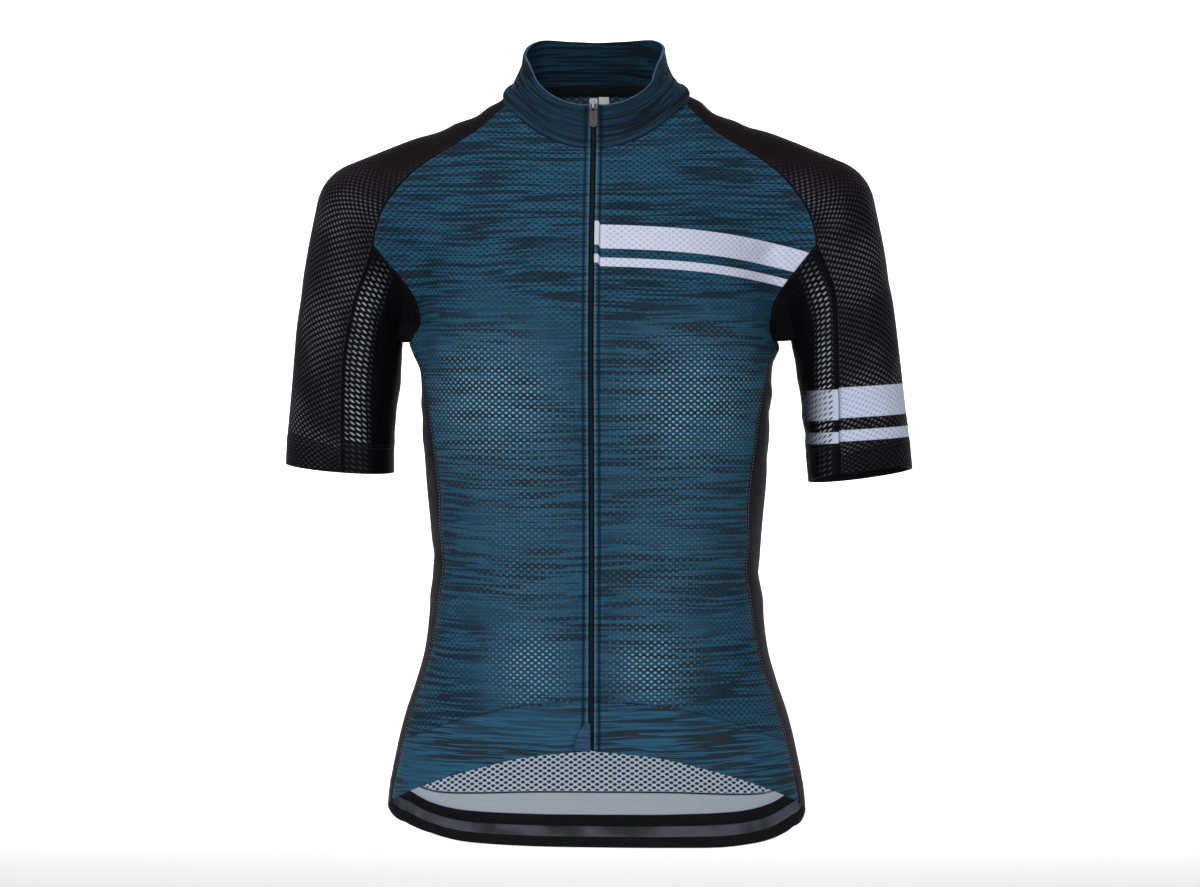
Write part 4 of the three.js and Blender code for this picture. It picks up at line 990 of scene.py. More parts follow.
net = on_back(fill(back_seam, gripper_top_back, left["side_back_low"], right["side_back_low"]))
normals = outwards_of(net)
uv = grain_of(net, "back")
finishes = (band_knit, knit_inside)
piece = wall("back_panel_band", pulled_in(net), normals, CLOTH, seam_dip(net, "tblr"), finishes, uv)
sewn_in(piece, "back_band", net)


# Back pockets
# Three pockets in one panel of the plain printed knit, stitched down to the back between them and
# at their foot, with an elastic hem along the open top.
POCKET_DIVIDER, POCKET_SLACK, POCKET_ROWS, POCKET_HEM = 75, 3.2, 6 * FINER, 17
POCKET_FOOT, POCKET_SIDE, POCKET_CLEAR = 0.15 * FINER, 0.35 * FINER, 0.5


def on_net(net, row, column):
    """Points on a net at shares of its rows and columns."""
    j = np.clip(np.floor(row).astype(int), 0, net.shape[0] - 2)
    i = np.clip(np.floor(column).astype(int), 0, net.shape[1] - 2)
    fj, fi = (row - j)[..., None], (column - i)[..., None]
    upper = net[j, i] * (1 - fi) + net[j, i + 1] * fi
    lower = net[j + 1, i] * (1 - fi) + net[j + 1, i + 1] * fi
    return upper * (1 - fj) + lower * fj


last_row, last_column = back_net.shape[0] - 1, back_net.shape[1] - 1
rows = np.linspace(last_row - POCKET_ROWS, last_row - POCKET_FOOT, POCKET_ROWS + 1)
columns = np.linspace(POCKET_SIDE, last_column - POCKET_SIDE, last_column + 1)
columns, rows = np.meshgrid(columns, rows)
net = on_net(back_net, rows, columns)
normals = outwards_of(net)
x = np.abs(net[..., 0])
edge = np.abs(net[:, :1, 0])
outer = (x - POCKET_DIVIDER) / (edge - POCKET_DIVIDER)
reach = np.where(x < POCKET_DIVIDER, 0.5 - x / POCKET_DIVIDER / 2, outer)
open_share = 1 - np.linspace(0, 1, POCKET_ROWS + 1)[:, None]
pouch = np.sin(math.pi * reach) ** 2
drop = from_rim(net, "t")
hem_line = 0.25 * np.clip((POCKET_HEM + 1 - drop) / 2, 0, 1) - 0.3 * bell(drop, POCKET_HEM, 0.8)
gather = 0.45 * np.sin(x * 0.9 + 2 * np.sin(x * 0.11)) * bell(drop, 8, 11) * pouch
lift = CLOTH + POCKET_CLEAR + POCKET_SLACK * pouch * open_share + hem_line + gather
crease = on_net(np.repeat(back_crease, 3, -1), rows, columns)[..., :1] * 0.6
finish = Finish("pocket knit", 0.7, specular=0.07)
u, v = finish.grain()
x, y, z = finish.place()
below = finish.seam()
colour = finish.mix(streaks(finish, u, v, 1.25) * 0.9, TEAL, TEAL_DARK)
# Painted shade lines under the open top edge, along the hem's stitching and down the divider seams
lines = below.fade(0.0018, 0.0006).max(below.between(0.0160, 0.0176, 0.0005) * 0.8)
lines = lines.max((x.abs() - POCKET_DIVIDER * MM).abs().fade(0.0026, 0.0008) * 0.85)
finish.colour(finish.mix(lines * 0.85, colour, tone(8, 14, 21)))
knit_ribs(finish, u, v)
piece = wall("pockets", net + normals * crease, normals, CLOTH, lift, (finish.material, knit_inside),
             grain_of(net, "back"), 0.45, "t")
sewn_in(piece, "back_pockets", net)


# Side panels
# A narrow panel of plain black knit on each side, from the armpit down to the gripper, which
# shapes the waist.
# BLACK_SHADE is painted shade: along the seams of black cloth and on the under-sleeves away from their seams
BLACK_SHADE, KNIT_HOLE_TONE = tone(7, 7, 9), tone(58, 58, 64)
KNIT_NET, KNIT_HOLE = (0.0032, 0.0030), (0.0007, 0.0005)


def black_knit(name, light, holed=False):
    finish = Finish(name, 0.7, specular=0.06)
    u, v = finish.grain()
    cloudy = finish.noise(u * 150, v * 220, 4.0, 3.0)
    dark, pale = (tone(*(value + step for value in light)) for step in (-7, 4))
    colour = finish.mix(cloudy, dark, pale)
    if holed:
        holes = eyelets(u, v, KNIT_NET, KNIT_HOLE, 0.5)
        colour = finish.mix(holes * 0.7, colour, KNIT_HOLE_TONE)
    finish.colour(seam_shade(finish, colour, 0.0014, 0.6, BLACK_SHADE))
    finish.bump((u * 4600).sin() * 0.5 + (v * 3400).sin() * 0.4, 0.00006)
    return finish.material


side_knit = black_knit("black knit", (19, 17, 20), True)
side_bottoms = {}
for side, word in SIDES.items():
    s = seams[side]
    front, back = s["side_front_low"][-1], s["side_back_low"][-1]
    bottom = front + (back - front) * np.linspace(0, 1, SIDE_TOP + 1)[:, None]
    bottom = from_side(side, bottom[:, 1], bottom[:, 2])
    bottom[0], bottom[-1] = front, back
    start = join_lines(s["side_front"], s["side_front_low"])
    end = join_lines(s["side_back"], s["side_back_low"])
    net = fill(s["side_top"], bottom, start, end)
    net = on_cloth(net, lambda p: from_side(side, p[..., 1], p[..., 2]))
    normals = outwards_of(net)
    uv = net[..., 1:] * MM
    piece = wall(f"{word}_side_panel", creased(net, normals), normals, CLOTH, seam_dip(net, "tblr"),
                 (side_knit, side_knit), uv)
    sewn_in(piece, f"side_{word}", net)
    side_bottoms[side] = bottom


# Gripper
# A woven elastic band sewn round the sides and the back of the hem, with a grey grip coating
# along the middle of its inner side that keeps the jersey down.
GRIPPER, STRIP_TALL, STRIP, TUCKED, SOFTENING = 26, 8.5, 0.8, 0.3, 35

# How far the lower edge sags: X, drop
GRIPPER_SAG = [
    (-182, 0.8), (-166, 2.8), (-148, 0.9), (-125, 1.8), (-60, 2.6), (60, 3.4), (105, 4.5), (130, 4.4),
    (165, 6), (182, 1),
]
gripper_top = join_lines(side_bottoms[1], gripper_top_back, side_bottoms[-1][::-1])
gripper_run = run_of(gripper_top)


def gripper_row(depth):
    """The gripper's line at a depth below its seam, softer and lower towards its free edge."""
    on_side = np.arange(len(gripper_top))
    on_side = (on_side <= SIDE_TOP) | (on_side >= len(gripper_top) - 1 - SIDE_TOP)
    x, y, z = gripper_top.T
    even = np.arange(0, gripper_run[-1], 1.0)
    window = np.hanning(2 * SOFTENING + 1)
    padded = np.pad(np.interp(even, gripper_run, z), SOFTENING, mode="edge")
    soft = np.interp(gripper_run, even, np.convolve(padded, window / window.sum(), "valid")[:len(even)])
    share = depth / GRIPPER
    sag = np.interp(x, *np.array(GRIPPER_SAG).T)
    z = z + (soft - z) * share - share * sag * np.clip((y - 10) / 20, 0, 1)
    row = from_back(x, z - depth)
    for side in SIDES:
        of_side = on_side & (np.sign(x) == side)
        row[of_side] = from_side(side, y[of_side], z[of_side] - depth)
    return row


net = np.stack([gripper_row(depth) for depth in np.linspace(0, GRIPPER, HEM_STEPS + 1)])
net[0] = gripper_top
net[:, 0], net[:, -1] = left["side_front_hem"], right["side_front_hem"]
normals = outwards_of(net)
finish = Finish("woven elastic", 0.75, specular=0.12)
uv = np.stack(np.broadcast_arrays(run_of(net[0])[None], net[..., 2]), -1) * MM
u, v = finish.grain()
ribs = (u * 3900).sin()
worn = ribs * 0.3 + finish.noise(u * 90, v * 300) * 0.6
finish.colour(finish.mix(worn, tone(18, 17, 20), tone(32, 31, 35)))
finish.bump(ribs * 0.5 + (v * 2600).sin() * 0.3, 0.00012)
elastic = finish.material
body = pulled_in(net)
upwards = net[0] - net[1]
body[0] = net[0] + TUCKED * upwards / np.linalg.norm(upwards, axis=-1, keepdims=True)
piece = wall("hem_gripper", body, normals, BAND, seam_dip(net, "tlr"), (elastic, elastic), uv, 0.4)
sewn_in(piece, "gripper", net)

net = np.stack([gripper_row(depth) for depth in np.linspace(STRIP_TALL, 2 * STRIP_TALL, 6)])[:, FINER:-FINER]
normals = outwards_of(net)
finish = Finish("grip coating", 0.55, specular=0.3)
x, y, z = finish.place()
cloudy = finish.noise(x * 24, y * 24, z * 24, 2.0).fade(0.35, 0.62)
finish.colour(finish.mix(cloudy, tone(46, 48, 56), tone(88, 91, 101)))
finish.bump(finish.noise(x * 1800, y * 1800, z * 1800, 1.0), 0.0002)
uv = net[..., 1:] * MM
piece = wall("grip_coating", net, normals, STRIP, -(BAND + SEAM_GAP), (finish.material,), uv, 0.2)
fasten(piece, "gripper_strip")


# Raglan sleeves
# Fine black eyelet mesh from the collar over the shoulder to a folded and stitched hem; the
# wearer's left sleeve repeats the two pale stripes above its hem.
SLEEVE_CREST = [
    (78, 4), (112, -20), (150, -34), (190, -46), (234, -85), (250, -150), (260, -220), (268, -316),
]
CREST_AT_CORNER, NECK_ROWS, HEM_STEP, DOUBLED = 4, 5 * FINER, 0.3, 2.2
SLEEVE_BROAD, SLEEVE_NARROW, SLEEVE_TILT = (-0.2722, -0.2466), (-0.2918, -0.2824), 0.061
SLEEVE_PALE, SLEEVE_PALE_SHADE, COARSE_PALE_SHADE = tone(184, 192, 214), tone(132, 140, 166), tone(52, 56, 70)
SLEEVE_NET, SLEEVE_HOLE = (0.0060, 0.0050), (0.00125, 0.00088)
COARSE_NET, COARSE_HOLE, LENS_TILT = (0.0061, 0.0046), (0.0026, 0.00085), 0.4


def unit(vectors):
    return vectors / np.maximum(np.linalg.norm(vectors, axis=-1, keepdims=True), 1e-9)


def turn_towards(start, end, share):
    angle = np.arccos(np.clip((start * end).sum(-1, keepdims=True), -1, 1))
    return unit(start * np.sin((1 - share) * angle) + end * np.sin(share * angle))


def sleeve_net(side):
    """Rows round the sleeve's outer side, from the front seam over the crest to the back seam."""
    s = seams[side]
    front = join_lines(s["raglan_front"], s["sleeve_front"])
    back = join_lines(s["raglan_back"], s["sleeve_back"])
    upper = trace(SLEEVE_CREST, RAGLAN, 0, CREST_AT_CORNER)
    crest = join_lines(upper, trace(SLEEVE_CREST, SLEEVE, CREST_AT_CORNER))
    crest = points(side * crest[:, 0], 0, crest[:, 1])
    middle = (front + back) / 2
    ways = [unit(line - middle)[:, None] for line in (front, crest, back)]
    share = np.linspace(0, 2, CAP + 1)[None, :, None]
    way = np.where(share <= 1, turn_towards(ways[0], ways[1], np.minimum(share, 1)),
                   turn_towards(ways[1], ways[2], np.maximum(share - 1, 0)))
    net = cast_out(middle[:, None], way)
    shift = s["neck_cap"] - net[0]
    fade = np.maximum(0, 1 - np.arange(len(net)) / NECK_ROWS)[:, None, None]
    net = settle(net + shift * fade)
    net[0], net[-1] = s["neck_cap"], s["cuff_outer"]
    net[:, 0], net[:, -1] = front, back
    return net


def lengths_of(net, middle):
    """Metres round from the middle column and up from the last row."""
    u = runs_across(net)
    v = runs_across(net[::-1].swapaxes(0, 1)).T[::-1]
    return np.stack([u - u[:, middle:middle + 1], v], -1) * MM


def lenses(u, v, net, hole, tilt):
    """1 in the long slanting holes of a coarse net, which stand side by side in columns."""
    (across, along), (half_wide, half_tall) = net, hole
    b = (v + u * 0.10) * (1 / along)
    a = ((u * (1 / across)).fract() - 0.5) * (across / half_wide)
    b = (b.fract() - 0.5) * (along / half_tall) + a * (tilt * half_wide / half_tall)
    return (a * a + b.abs()).fade(1.3, 0.75)


def black_mesh(name, striped, coarse, shift=0.0, clear=0.001):
    finish = Finish(name, 0.65, specular=0.04)
    u, v = finish.grain()
    x, y, z = finish.place()
    seam = finish.seam()
    if coarse:
        holes = lenses(u, v, COARSE_NET, COARSE_HOLE, LENS_TILT) * seam.fade(clear, clear + 0.001)
    else:
        holes = eyelets(u, v, SLEEVE_NET, SLEEVE_HOLE, 0.5) * seam.fade(0.001, 0.002)
    hem = v.fade(SLEEVE_HEM * MM, (SLEEVE_HEM + 1) * MM)
    cloudy = finish.noise(u * 150, v * 220, 4.0, 3.0)
    patch = finish.noise(x * 26, y * 26, z * 18, 2.0)
    if coarse:
        # Painted light in the holes near the seams to the sleeve and below the armpit, patchy and dimmer in
        # the hem; painted shade over the cloth away from there
        near_seam = seam.fade(0.030, 0.015) * seam.fade(0.001, 0.005) * z.fade(-0.132, -0.185)
        lit = near_seam * (patch.fade(0.3, 0.6) * 0.65 + 0.35) * (hem * 0.9 + 0.1)
        cloth = finish.mix(near_seam, BLACK_SHADE, tone(16, 15, 18))
        hole = finish.mix(lit, tone(10, 10, 12), tone(172, 174, 180))
    else:
        # Painted light in the holes, patchy, only below the top of the shoulder and dimmer in the hem; the
        # cloth over the shoulder's top is plain and a little lighter
        below = z.fade(-0.045, -0.10)
        lit = (patch.fade(0.38, 0.68) * 0.75 + 0.25) * below * (hem * 0.75 + 0.25)
        knit = finish.mix(cloudy, tone(6, 6, 8), tone(13, 12, 15))
        cloth = finish.mix(below, tone(22, 18, 19), knit)
        hole = finish.mix(lit, tone(17, 15, 18), tone(94, 93, 99))
    colour = finish.mix(holes * 0.95, cloth, hole)
    if striped:
        level = z - (x - 0.205) * SLEEVE_TILT - shift
        band = level.between(*SLEEVE_BROAD, 0.0005).max(level.between(*SLEEVE_NARROW, 0.0005))
        pale = finish.mix(holes * 0.7, SLEEVE_PALE, SLEEVE_PALE_SHADE)
        if coarse:
            # Painted shade: the stripes fade out towards the body
            band = band * x.fade(0.174, 0.202)
            pale = finish.mix(holes * 0.95, SLEEVE_PALE, COARSE_PALE_SHADE)
        colour = finish.mix(band, colour, pale)
    finish.colour(seam_shade(finish, colour, 0.0014, 0.7, BLACK_SHADE))
    finish.bump(holes * -1.0 + (u * 5200).sin() * 0.05, 0.0004 if coarse else 0.00025)
    return finish.material


def hem_form(v):
    """Lift and thickness of the folded hem, from the metres up from a sleeve's lower end."""
    in_hem = np.clip((SLEEVE_HEM + 0.6 - v / MM) / 1.2, 0, 1)
    groove = -0.4 * bell(v / MM, SLEEVE_HEM - 1.8, 0.8)
    return HEM_STEP * in_hem + groove, CLOTH + (DOUBLED + HEM_STEP - CLOTH) * in_hem


sleeve_inside = black_knit("black mesh, inner side", (16, 15, 18))
for side, word in SIDES.items():
    net = sleeve_net(side)
    normals = outwards_of(net)
    uv = lengths_of(net, CAP // 2)
    uv[..., 1] = uv[..., 1].mean(1, keepdims=True)
    lift, thick = hem_form(uv[..., 1])
    body = creased(net, normals)
    lift = lift + seam_dip(net, "tlr")
    finish = black_mesh(f"black eyelet mesh, {word}", side > 0, False)
    piece = wall(f"{word}_sleeve", body, normals, thick, lift, (finish, sleeve_inside), uv, 0.45, "tlr")
    sewn_in(piece, f"sleeve_{word}", net)


# Under-sleeve panels
# A coarser black net runs from the armhole under the arm to the same folded hem, and the last
# ends of the stripes cross it a little lower than on the sleeve.
COARSE_STRIPE_SHIFT, CLEAR_OF_SEAM = -0.0013, {1: 0.0045, -1: 0.0008}
for side, word in SIDES.items():
    s = seams[side]
    armhole = join_lines(s["armhole_front"], s["side_top"], s["armhole_back"][::-1])
    net = fill(armhole, s["cuff_inner"], s["sleeve_front"], s["sleeve_back"])
    net = on_cloth(net, lambda p: settle(settle(p, lambda q: sleeve_distance(q, side))))
    normals = outwards_of(net)
    uv = lengths_of(net, 0)
    lift, thick = hem_form(uv[..., 1])
    body = creased(net, normals)
    away = from_rim(net, "t")
    gathered = 1.1 * bell(away, 4.6, 1.5) - 0.7 * bell(away, 8.4, 1.6)
    lift = lift + seam_dip(net, "tlr") + gathered
    finish = black_mesh(f"coarse black net, {word}", side > 0, True, COARSE_STRIPE_SHIFT, CLEAR_OF_SEAM[side])
    piece = wall(f"{word}_under_sleeve", body, normals, thick, lift, (finish, sleeve_inside), uv, 0.45, "lr")
    sewn_in(piece, f"under_sleeve_{word}", net)


# Collar
# A doubled band of the printed knit stands on the neck seam, open at the zip, with a stitched
# ridge over the seam and a softly folded top edge.
COLLAR_TOP = [
    (0, -58, -10), (12, -57.5, -9.5), (25, -54, -6.5), (39, -44, 2), (51.5, -28, 15), (58.5, -10, 28.5),
    (61, 6, 38), (59, 22, 46), (48, 34, 51.5), (25, 40.5, 51), (0, 42, 50),
]
COLLAR_OVERLAP, COLLAR_BULGE, COLLAR_ROWS = 0.8, 0.8, 34

# How far each side leans in towards the neck: height, left, right
COLLAR_LEAN = [
    (2, -1.5, -0.8), (10, 0.5, 0.2), (18, 5, 1.8), (28, 6, 1.8), (37, 5, -1), (45, 3.4, 0), (53, 2.5, 0),
]


def half_line(rows, side):
    """Half of the collar's top edge, from the zip to the middle of the back."""
    x, y, z = rows[0]
    near = points(zip_columns, y, z)
    fine = trace([(ZIP_EDGE, y, z)] + list(rows[1:]), FRONT, 0, RAGLAN_FRONT_ROW)
    line = np.concatenate([near, fine[fine[:, 0] > zip_columns[-1] + 1]])
    line = resample_beyond(line, len(zip_columns) + FRONT)
    cap = trace(rows, CAP, RAGLAN_FRONT_ROW, RAGLAN_BACK_ROW)
    back = trace(rows, BACK_HALF, RAGLAN_BACK_ROW)
    return join_lines(line, cap, back) * (side, 1, 1)


def neck_line(side):
    s = seams[side]
    front = resample_beyond(s["neck_front"], len(zip_columns) + FRONT)
    return join_lines(front, s["neck_cap"], s["neck_back"])


foot = across_back(neck_line(-1), neck_line(1)) - (0, 0, COLLAR_OVERLAP)
rim = across_back(half_line(COLLAR_TOP, -1), half_line(COLLAR_TOP, 1))
share = np.linspace(0, 1, COLLAR_ROWS + 1)[:, None, None]
net = foot * (1 - share) + rim * share
near_zip = np.clip((10 - np.abs(net[..., 0])) / 7.8, 0, 1) * (net[..., 1] < 0) * share[..., 0]
net[..., 0] -= 0.7 * np.sign(net[..., 0]) * near_zip
away = unit(net * (1, 1, 0) + (0, 8, 0))
net = net + away * COLLAR_BULGE * np.sin(math.pi * share)
heights, left_lean, right_lean = np.array(COLLAR_LEAN).T
lean_left = np.interp(net[..., 2], heights, left_lean)
lean_right = np.interp(net[..., 2], heights, right_lean)
lean = np.where(net[..., 0] > 0, lean_left, lean_right) * np.abs(away[..., 0]) ** 3
lean = lean * np.minimum(1, share[..., 0] * 4)
net[..., 0] -= np.sign(net[..., 0]) * lean
down = np.gradient(net, axis=0)
along = np.gradient(net, axis=1)
normals = unit(np.cross(down, along))
normals = normals * np.sign((normals * away).sum(-1, keepdims=True))
height = from_rim(net, "t")
depth = height[-1:] - height
slump = np.clip((np.abs(net[..., 0]) - 14) / 40, 0.15, 1)
ridge = 0.6 * np.clip(4.9 - height, 0, 1) - 0.4 * bell(height, 5.4, 0.7)
ridge = ridge + slump * (2.7 * bell(height, 6, 3.8) - 1.1 * bell(height, 14, 3.2))
top_fold = 0.3 * np.clip((4.6 - depth) / 1.4, 0, 1) - 0.4 * bell(depth, 5.0, 0.7)
front_fold = 0.5 * turned_edge(np.abs(net[..., 0])) * (net[..., 1] < 0)
soft = 0.6 * np.sin(net[..., 0] * 0.07 + 1.3) * np.sin(net[..., 2] * 0.05 + net[..., 1] * 0.06)
lift = ridge + top_fold + front_fold + soft * np.sin(math.pi * share[..., 0])
round_neck = run_of(net[COLLAR_ROWS // 2])
uv = np.stack(np.broadcast_arrays((round_neck - round_neck[-1] / 2)[None], height), -1) * MM
finish = Finish("collar knit", 0.7, specular=0.06)
u, v = finish.grain()
x, y, z = finish.place()
colour = finish.mix(streaks(finish, u, v) * 0.9, tone(20, 48, 66), tone(14, 19, 25))
colour = zip_fold(finish, x, y, colour)
# Painted shade in the stitched groove above the ridge at the foot, a faint painted highlight on the ridge, a
# painted highlight along the folded top edge and painted shade in the neck seam
colour = finish.mix(v.bell(0.0054, 0.0009) * 0.6, colour, tone(12, 20, 28))
colour = finish.mix(v.between(0.0014, 0.0040, 0.0006) * 0.1, colour, tone(64, 96, 118))
colour = finish.mix(finish.seam().fade(0.0014, 0.0003) * 0.5, colour, tone(92, 122, 144))
finish.colour(finish.mix(v.fade(0.0012, 0.0) * 0.7, colour, tone(10, 16, 23)))
knit_ribs(finish, u, v)
collar_lining = printed_knit("collar knit, inner side", tone(16, 46, 64), tone(10, 18, 25), 0.85, False)
thick = DOUBLED + np.maximum(lift, 0) * 0.5
piece = wall("stand_collar", net, normals, thick, lift, (finish.material, collar_lining), uv, 0.9, "b")
sewn_in(piece, "collar", net)
collar_net = net


# Neck tape and label
# A narrow woven tape covers the neck seam inside the back, and a small blank satin label hangs
# from it beside the middle.
LINING, SATIN, LABEL_CURL, TAPE_TO = 1.0, 0.5, 0.35, 0.55
LABEL_COLUMNS, LABEL_ROWS = (7.05, 8), (0.6, 1.45)
columns = np.linspace(FINER, last_column - FINER, last_column - 2 * FINER + 1)
columns, rows = np.meshgrid(columns, np.linspace(0.0, TAPE_TO, 5) * FINER)
net = on_net(back_net, rows, columns)
finish = Finish("woven tape", 0.8, specular=0.1)
x, y, z = finish.place()
finish.colour(finish.mix((x * 5200).sin() * 0.5 + 0.5, tone(7, 10, 14), tone(16, 22, 29)))
finish.bump((x * 5200).sin() * 0.5, 0.0001)
uv = net[..., ::2] * MM
lift = -(CLOTH + SEAM_GAP)
piece = wall("neck_seam_tape", net, outwards_of(net), LINING, lift, (finish.material,), uv, 0.2)
sewn_in(piece, "neck_tape", net)

columns, rows = np.meshgrid(np.linspace(*LABEL_COLUMNS, 9) * FINER, np.linspace(*LABEL_ROWS, 13) * FINER)
net = on_net(back_net, rows, columns)
finish = Finish("satin label", 0.5)
x, y, z = finish.place()
finish.colour(finish.mix((z * 9000).sin() * 0.3 + 0.5, tone(206, 208, 212), tone(226, 227, 230)))
finish.bump((x * 9000).sin() * 0.5, 0.00005)
lift = lift - LABEL_CURL * np.linspace(0, 1, len(net))[:, None] ** 2
uv = net[..., ::2] * MM
piece = wall("blank_label", net, outwards_of(net), SATIN, lift, (finish.material,), uv, 0.15)
sewn_in(piece, "neck_label", net)


# Zip tapes
# Black knitted tapes, one behind each front's turned edge, carry the zip from hem to neck.
TAPE_INNER, TAPE_OUTER, TAPE_CLEAR = 0.4, 13, 0.4
finish = Finish("zip tape", 0.8, specular=0.1)
x, y, z = finish.place()
finish.colour(finish.mix((z * 6000).sin() * 0.5 + 0.5, tone(6, 7, 9), tone(15, 16, 19)))
finish.bump((z * 6000).sin() * 0.5, 0.0001)
zip_tape = finish.material
zip_top, zip_foot = front_nets[1][0, 0, 2] - 1, band_nets[1][-1, 0, 2]
for side, word in SIDES.items():
    x, z = np.meshgrid(np.linspace(TAPE_INNER, TAPE_OUTER, 8) * side, np.linspace(zip_top, zip_foot, 120))
    net = from_front(x, z)
    lift = -(CLOTH + TAPE_CLEAR + SEAM_GAP)
    uv = net[..., ::2] * MM
    piece = wall(f"{word}_zip_tape", net, outwards_of(net), LINING, lift, (zip_tape,), uv, 0.2)
    sewn_in(piece, f"zip_tape_{word}", net)


# Zip chain
# A black nylon coil zip, closed from the hem to the collar: small teeth mesh along the middle, on
# a narrow woven strip.
CHAIN_HALF, CHAIN_FOOT, TOOTH_PITCH, TOOTH_SIZE, TOOTH_SIDE = 2.1, -544.6, 1.3, (1.7, 1.4, 0.72), 0.6
CHAIN_COLUMNS = [-CHAIN_HALF, -1.4, -1.1, 0, 1.1, 1.4, CHAIN_HALF]
STRIP_THICK, STRIP_BEHIND, TOOTH_BEHIND = 0.5, 0.9, 0.5
on_neck = np.linspace(collar_net[-1, 0, 2], collar_net[0, 0, 2] + 1, 30)
chain_z = np.concatenate([on_neck, np.linspace(zip_top - 1, CHAIN_FOOT, 420)])
on_collar = chain_z > zip_top
collar_front = collar_net[::-1, 0]
chain_y = np.where(on_collar, np.interp(-chain_z, -collar_front[:, 2], collar_front[:, 1]),
                   from_front(np.zeros(len(chain_z)), np.minimum(chain_z, zip_top))[:, 1])


def chain_at(z):
    """Depth of the zip's face at a height, and how it leans there."""
    y = np.interp(-z, -chain_z, chain_y)
    ahead = np.interp(-(z - 1), -chain_z, chain_y) - np.interp(-(z + 1), -chain_z, chain_y)
    return y, np.arctan2(-ahead, 2)


bpy.ops.mesh.primitive_cube_add(size=1)
tooth = bpy.context.object
tooth.scale = TOOTH_SIZE
bpy.ops.object.transform_apply(location=False, rotation=False, scale=True)
bevel = tooth.modifiers.new("rounded", "BEVEL")
bevel.width = 0.3
bevel.segments = 2
apply_modifiers(tooth)


def joined_copies(name, pattern, places, finish):
    """One mesh of a small shape copied many times, from the places of each copy's points."""
    faces = [tuple(face.vertices) for face in pattern.data.polygons]
    size = len(pattern.data.vertices)
    joined = [tuple(i + number * size for i in face) for number in range(len(places)) for face in faces]
    mesh = bpy.data.meshes.new(name)
    mesh.from_pydata((np.concatenate(places) * MM).tolist(), [], joined)
    mesh.materials.append(finish)
    mesh.polygons.foreach_set("use_smooth", np.ones(len(joined), bool))
    return into_scene(name, mesh)


tooth_z = np.arange(collar_net[-1, 0, 2] - 1.5, CHAIN_FOOT + 1, -TOOTH_PITCH / 2)
tooth_y, lean = chain_at(tooth_z)
tooth_x = np.where(np.arange(len(tooth_z)) % 2, TOOTH_SIDE, -TOOTH_SIDE)
finish = Finish("nylon coil", 0.5, specular=0.25)
x, y, z = finish.place()
finish.colour(finish.mix(finish.noise(x * 900, y * 900, z * 900), tone(10, 10, 12), tone(25, 25, 29)))
shape = np.array([vertex.co for vertex in tooth.data.vertices])
places = []
for tilt, place in zip(lean, points(tooth_x, tooth_y + TOOTH_BEHIND, tooth_z)):
    c, s = math.cos(tilt), math.sin(tilt)
    places.append(shape @ np.array([[1, 0, 0], [0, c, s], [0, -s, c]]) + place)
fasten(joined_copies("zip_teeth", tooth, places, finish.material), "zip_chain")
bpy.data.objects.remove(tooth)

chain_rows = np.linspace(0, len(chain_z) - 1, 220).astype(int)
x, _ = np.meshgrid(CHAIN_COLUMNS, chain_rows)
net = points(x, chain_y[chain_rows][:, None] + STRIP_BEHIND, chain_z[chain_rows][:, None])
normals = np.broadcast_to(np.array([0.0, -1.0, 0.0]), net.shape)
piece = wall("zip_chain_tape", net, normals, STRIP_THICK, 0, (zip_tape,), net[..., ::2] * MM, 0.15)
fasten(piece, "zip_chain")


# Zip guard
# A small folded tab of the printed knit is sewn over the zip's lower end, on the wearer's right.
GUARD, GUARD_INNER = [(-545, -14.6), (-537, -13.2), (-529, -10), (-522.5, -5.5)], -0.2
guard_edge = trace(GUARD, 14)[::-1]
x = guard_edge[:, 1:] + (GUARD_INNER - guard_edge[:, 1:]) * np.linspace(0, 1, 9)[None]
net = from_front(x, guard_edge[:, :1])
normals = outwards_of(net)
guard_knit = printed_knit("guard knit", tone(46, 76, 104), tone(34, 50, 72), 0.7, False)
uv = net[..., ::2] * MM
piece = wall("zip_guard", net, normals, BAND, TURNED_EDGE + SEAM_GAP + BAND, (guard_knit,), uv, 0.5)
sewn_in(piece, "zip_end_guard", net)


# Slider and pull tab
# The slider is cast metal, at the top of the closed zip; a moulded tab hangs from its ring.
finish = Finish("nickel slider", 0.3, metallic=0.9)
x, y, z = finish.place()
worn = finish.noise(x * 700, y * 700, z * 700, 3.0)
finish.colour(finish.mix(worn, tone(150, 152, 156), tone(205, 207, 210)))
finish.rough(worn * 0.25 + 0.22)
nickel = finish.material
finish = Finish("moulded tab", 0.5, specular=0.4)
x, y, z = finish.place()
speckle = finish.noise(x * 900, y * 900, z * 900, 3.0)
finish.colour(finish.mix(speckle, tone(48, 44, 42), tone(78, 73, 70)))
finish.bump(speckle, 0.0001)
for node, material in (("zip_slider", nickel), ("zip_pull", finish.material)):
    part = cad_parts[node]
    part = bpy.data.objects[part] if isinstance(part, str) else part
    for slot in part.material_slots:
        slot.material = material
    if not part.material_slots:
        part.data.materials.append(material)


# Stitching
# Rows of machine stitches: one stitch is modelled and laid along each seam, in navy on the print,
# in black on the sleeves and the gripper, and in grey down the side seams.
bpy.ops.mesh.primitive_uv_sphere_add(segments=6, ring_count=4, radius=1, rotation=(0, math.pi / 2, 0))
stitch = bpy.context.object
bpy.ops.object.transform_apply(location=False, rotation=True, scale=False)
STITCH, STITCH_PITCH, STITCH_RAISED = (0.95, 0.3, 0.24), 2.7, 0.05


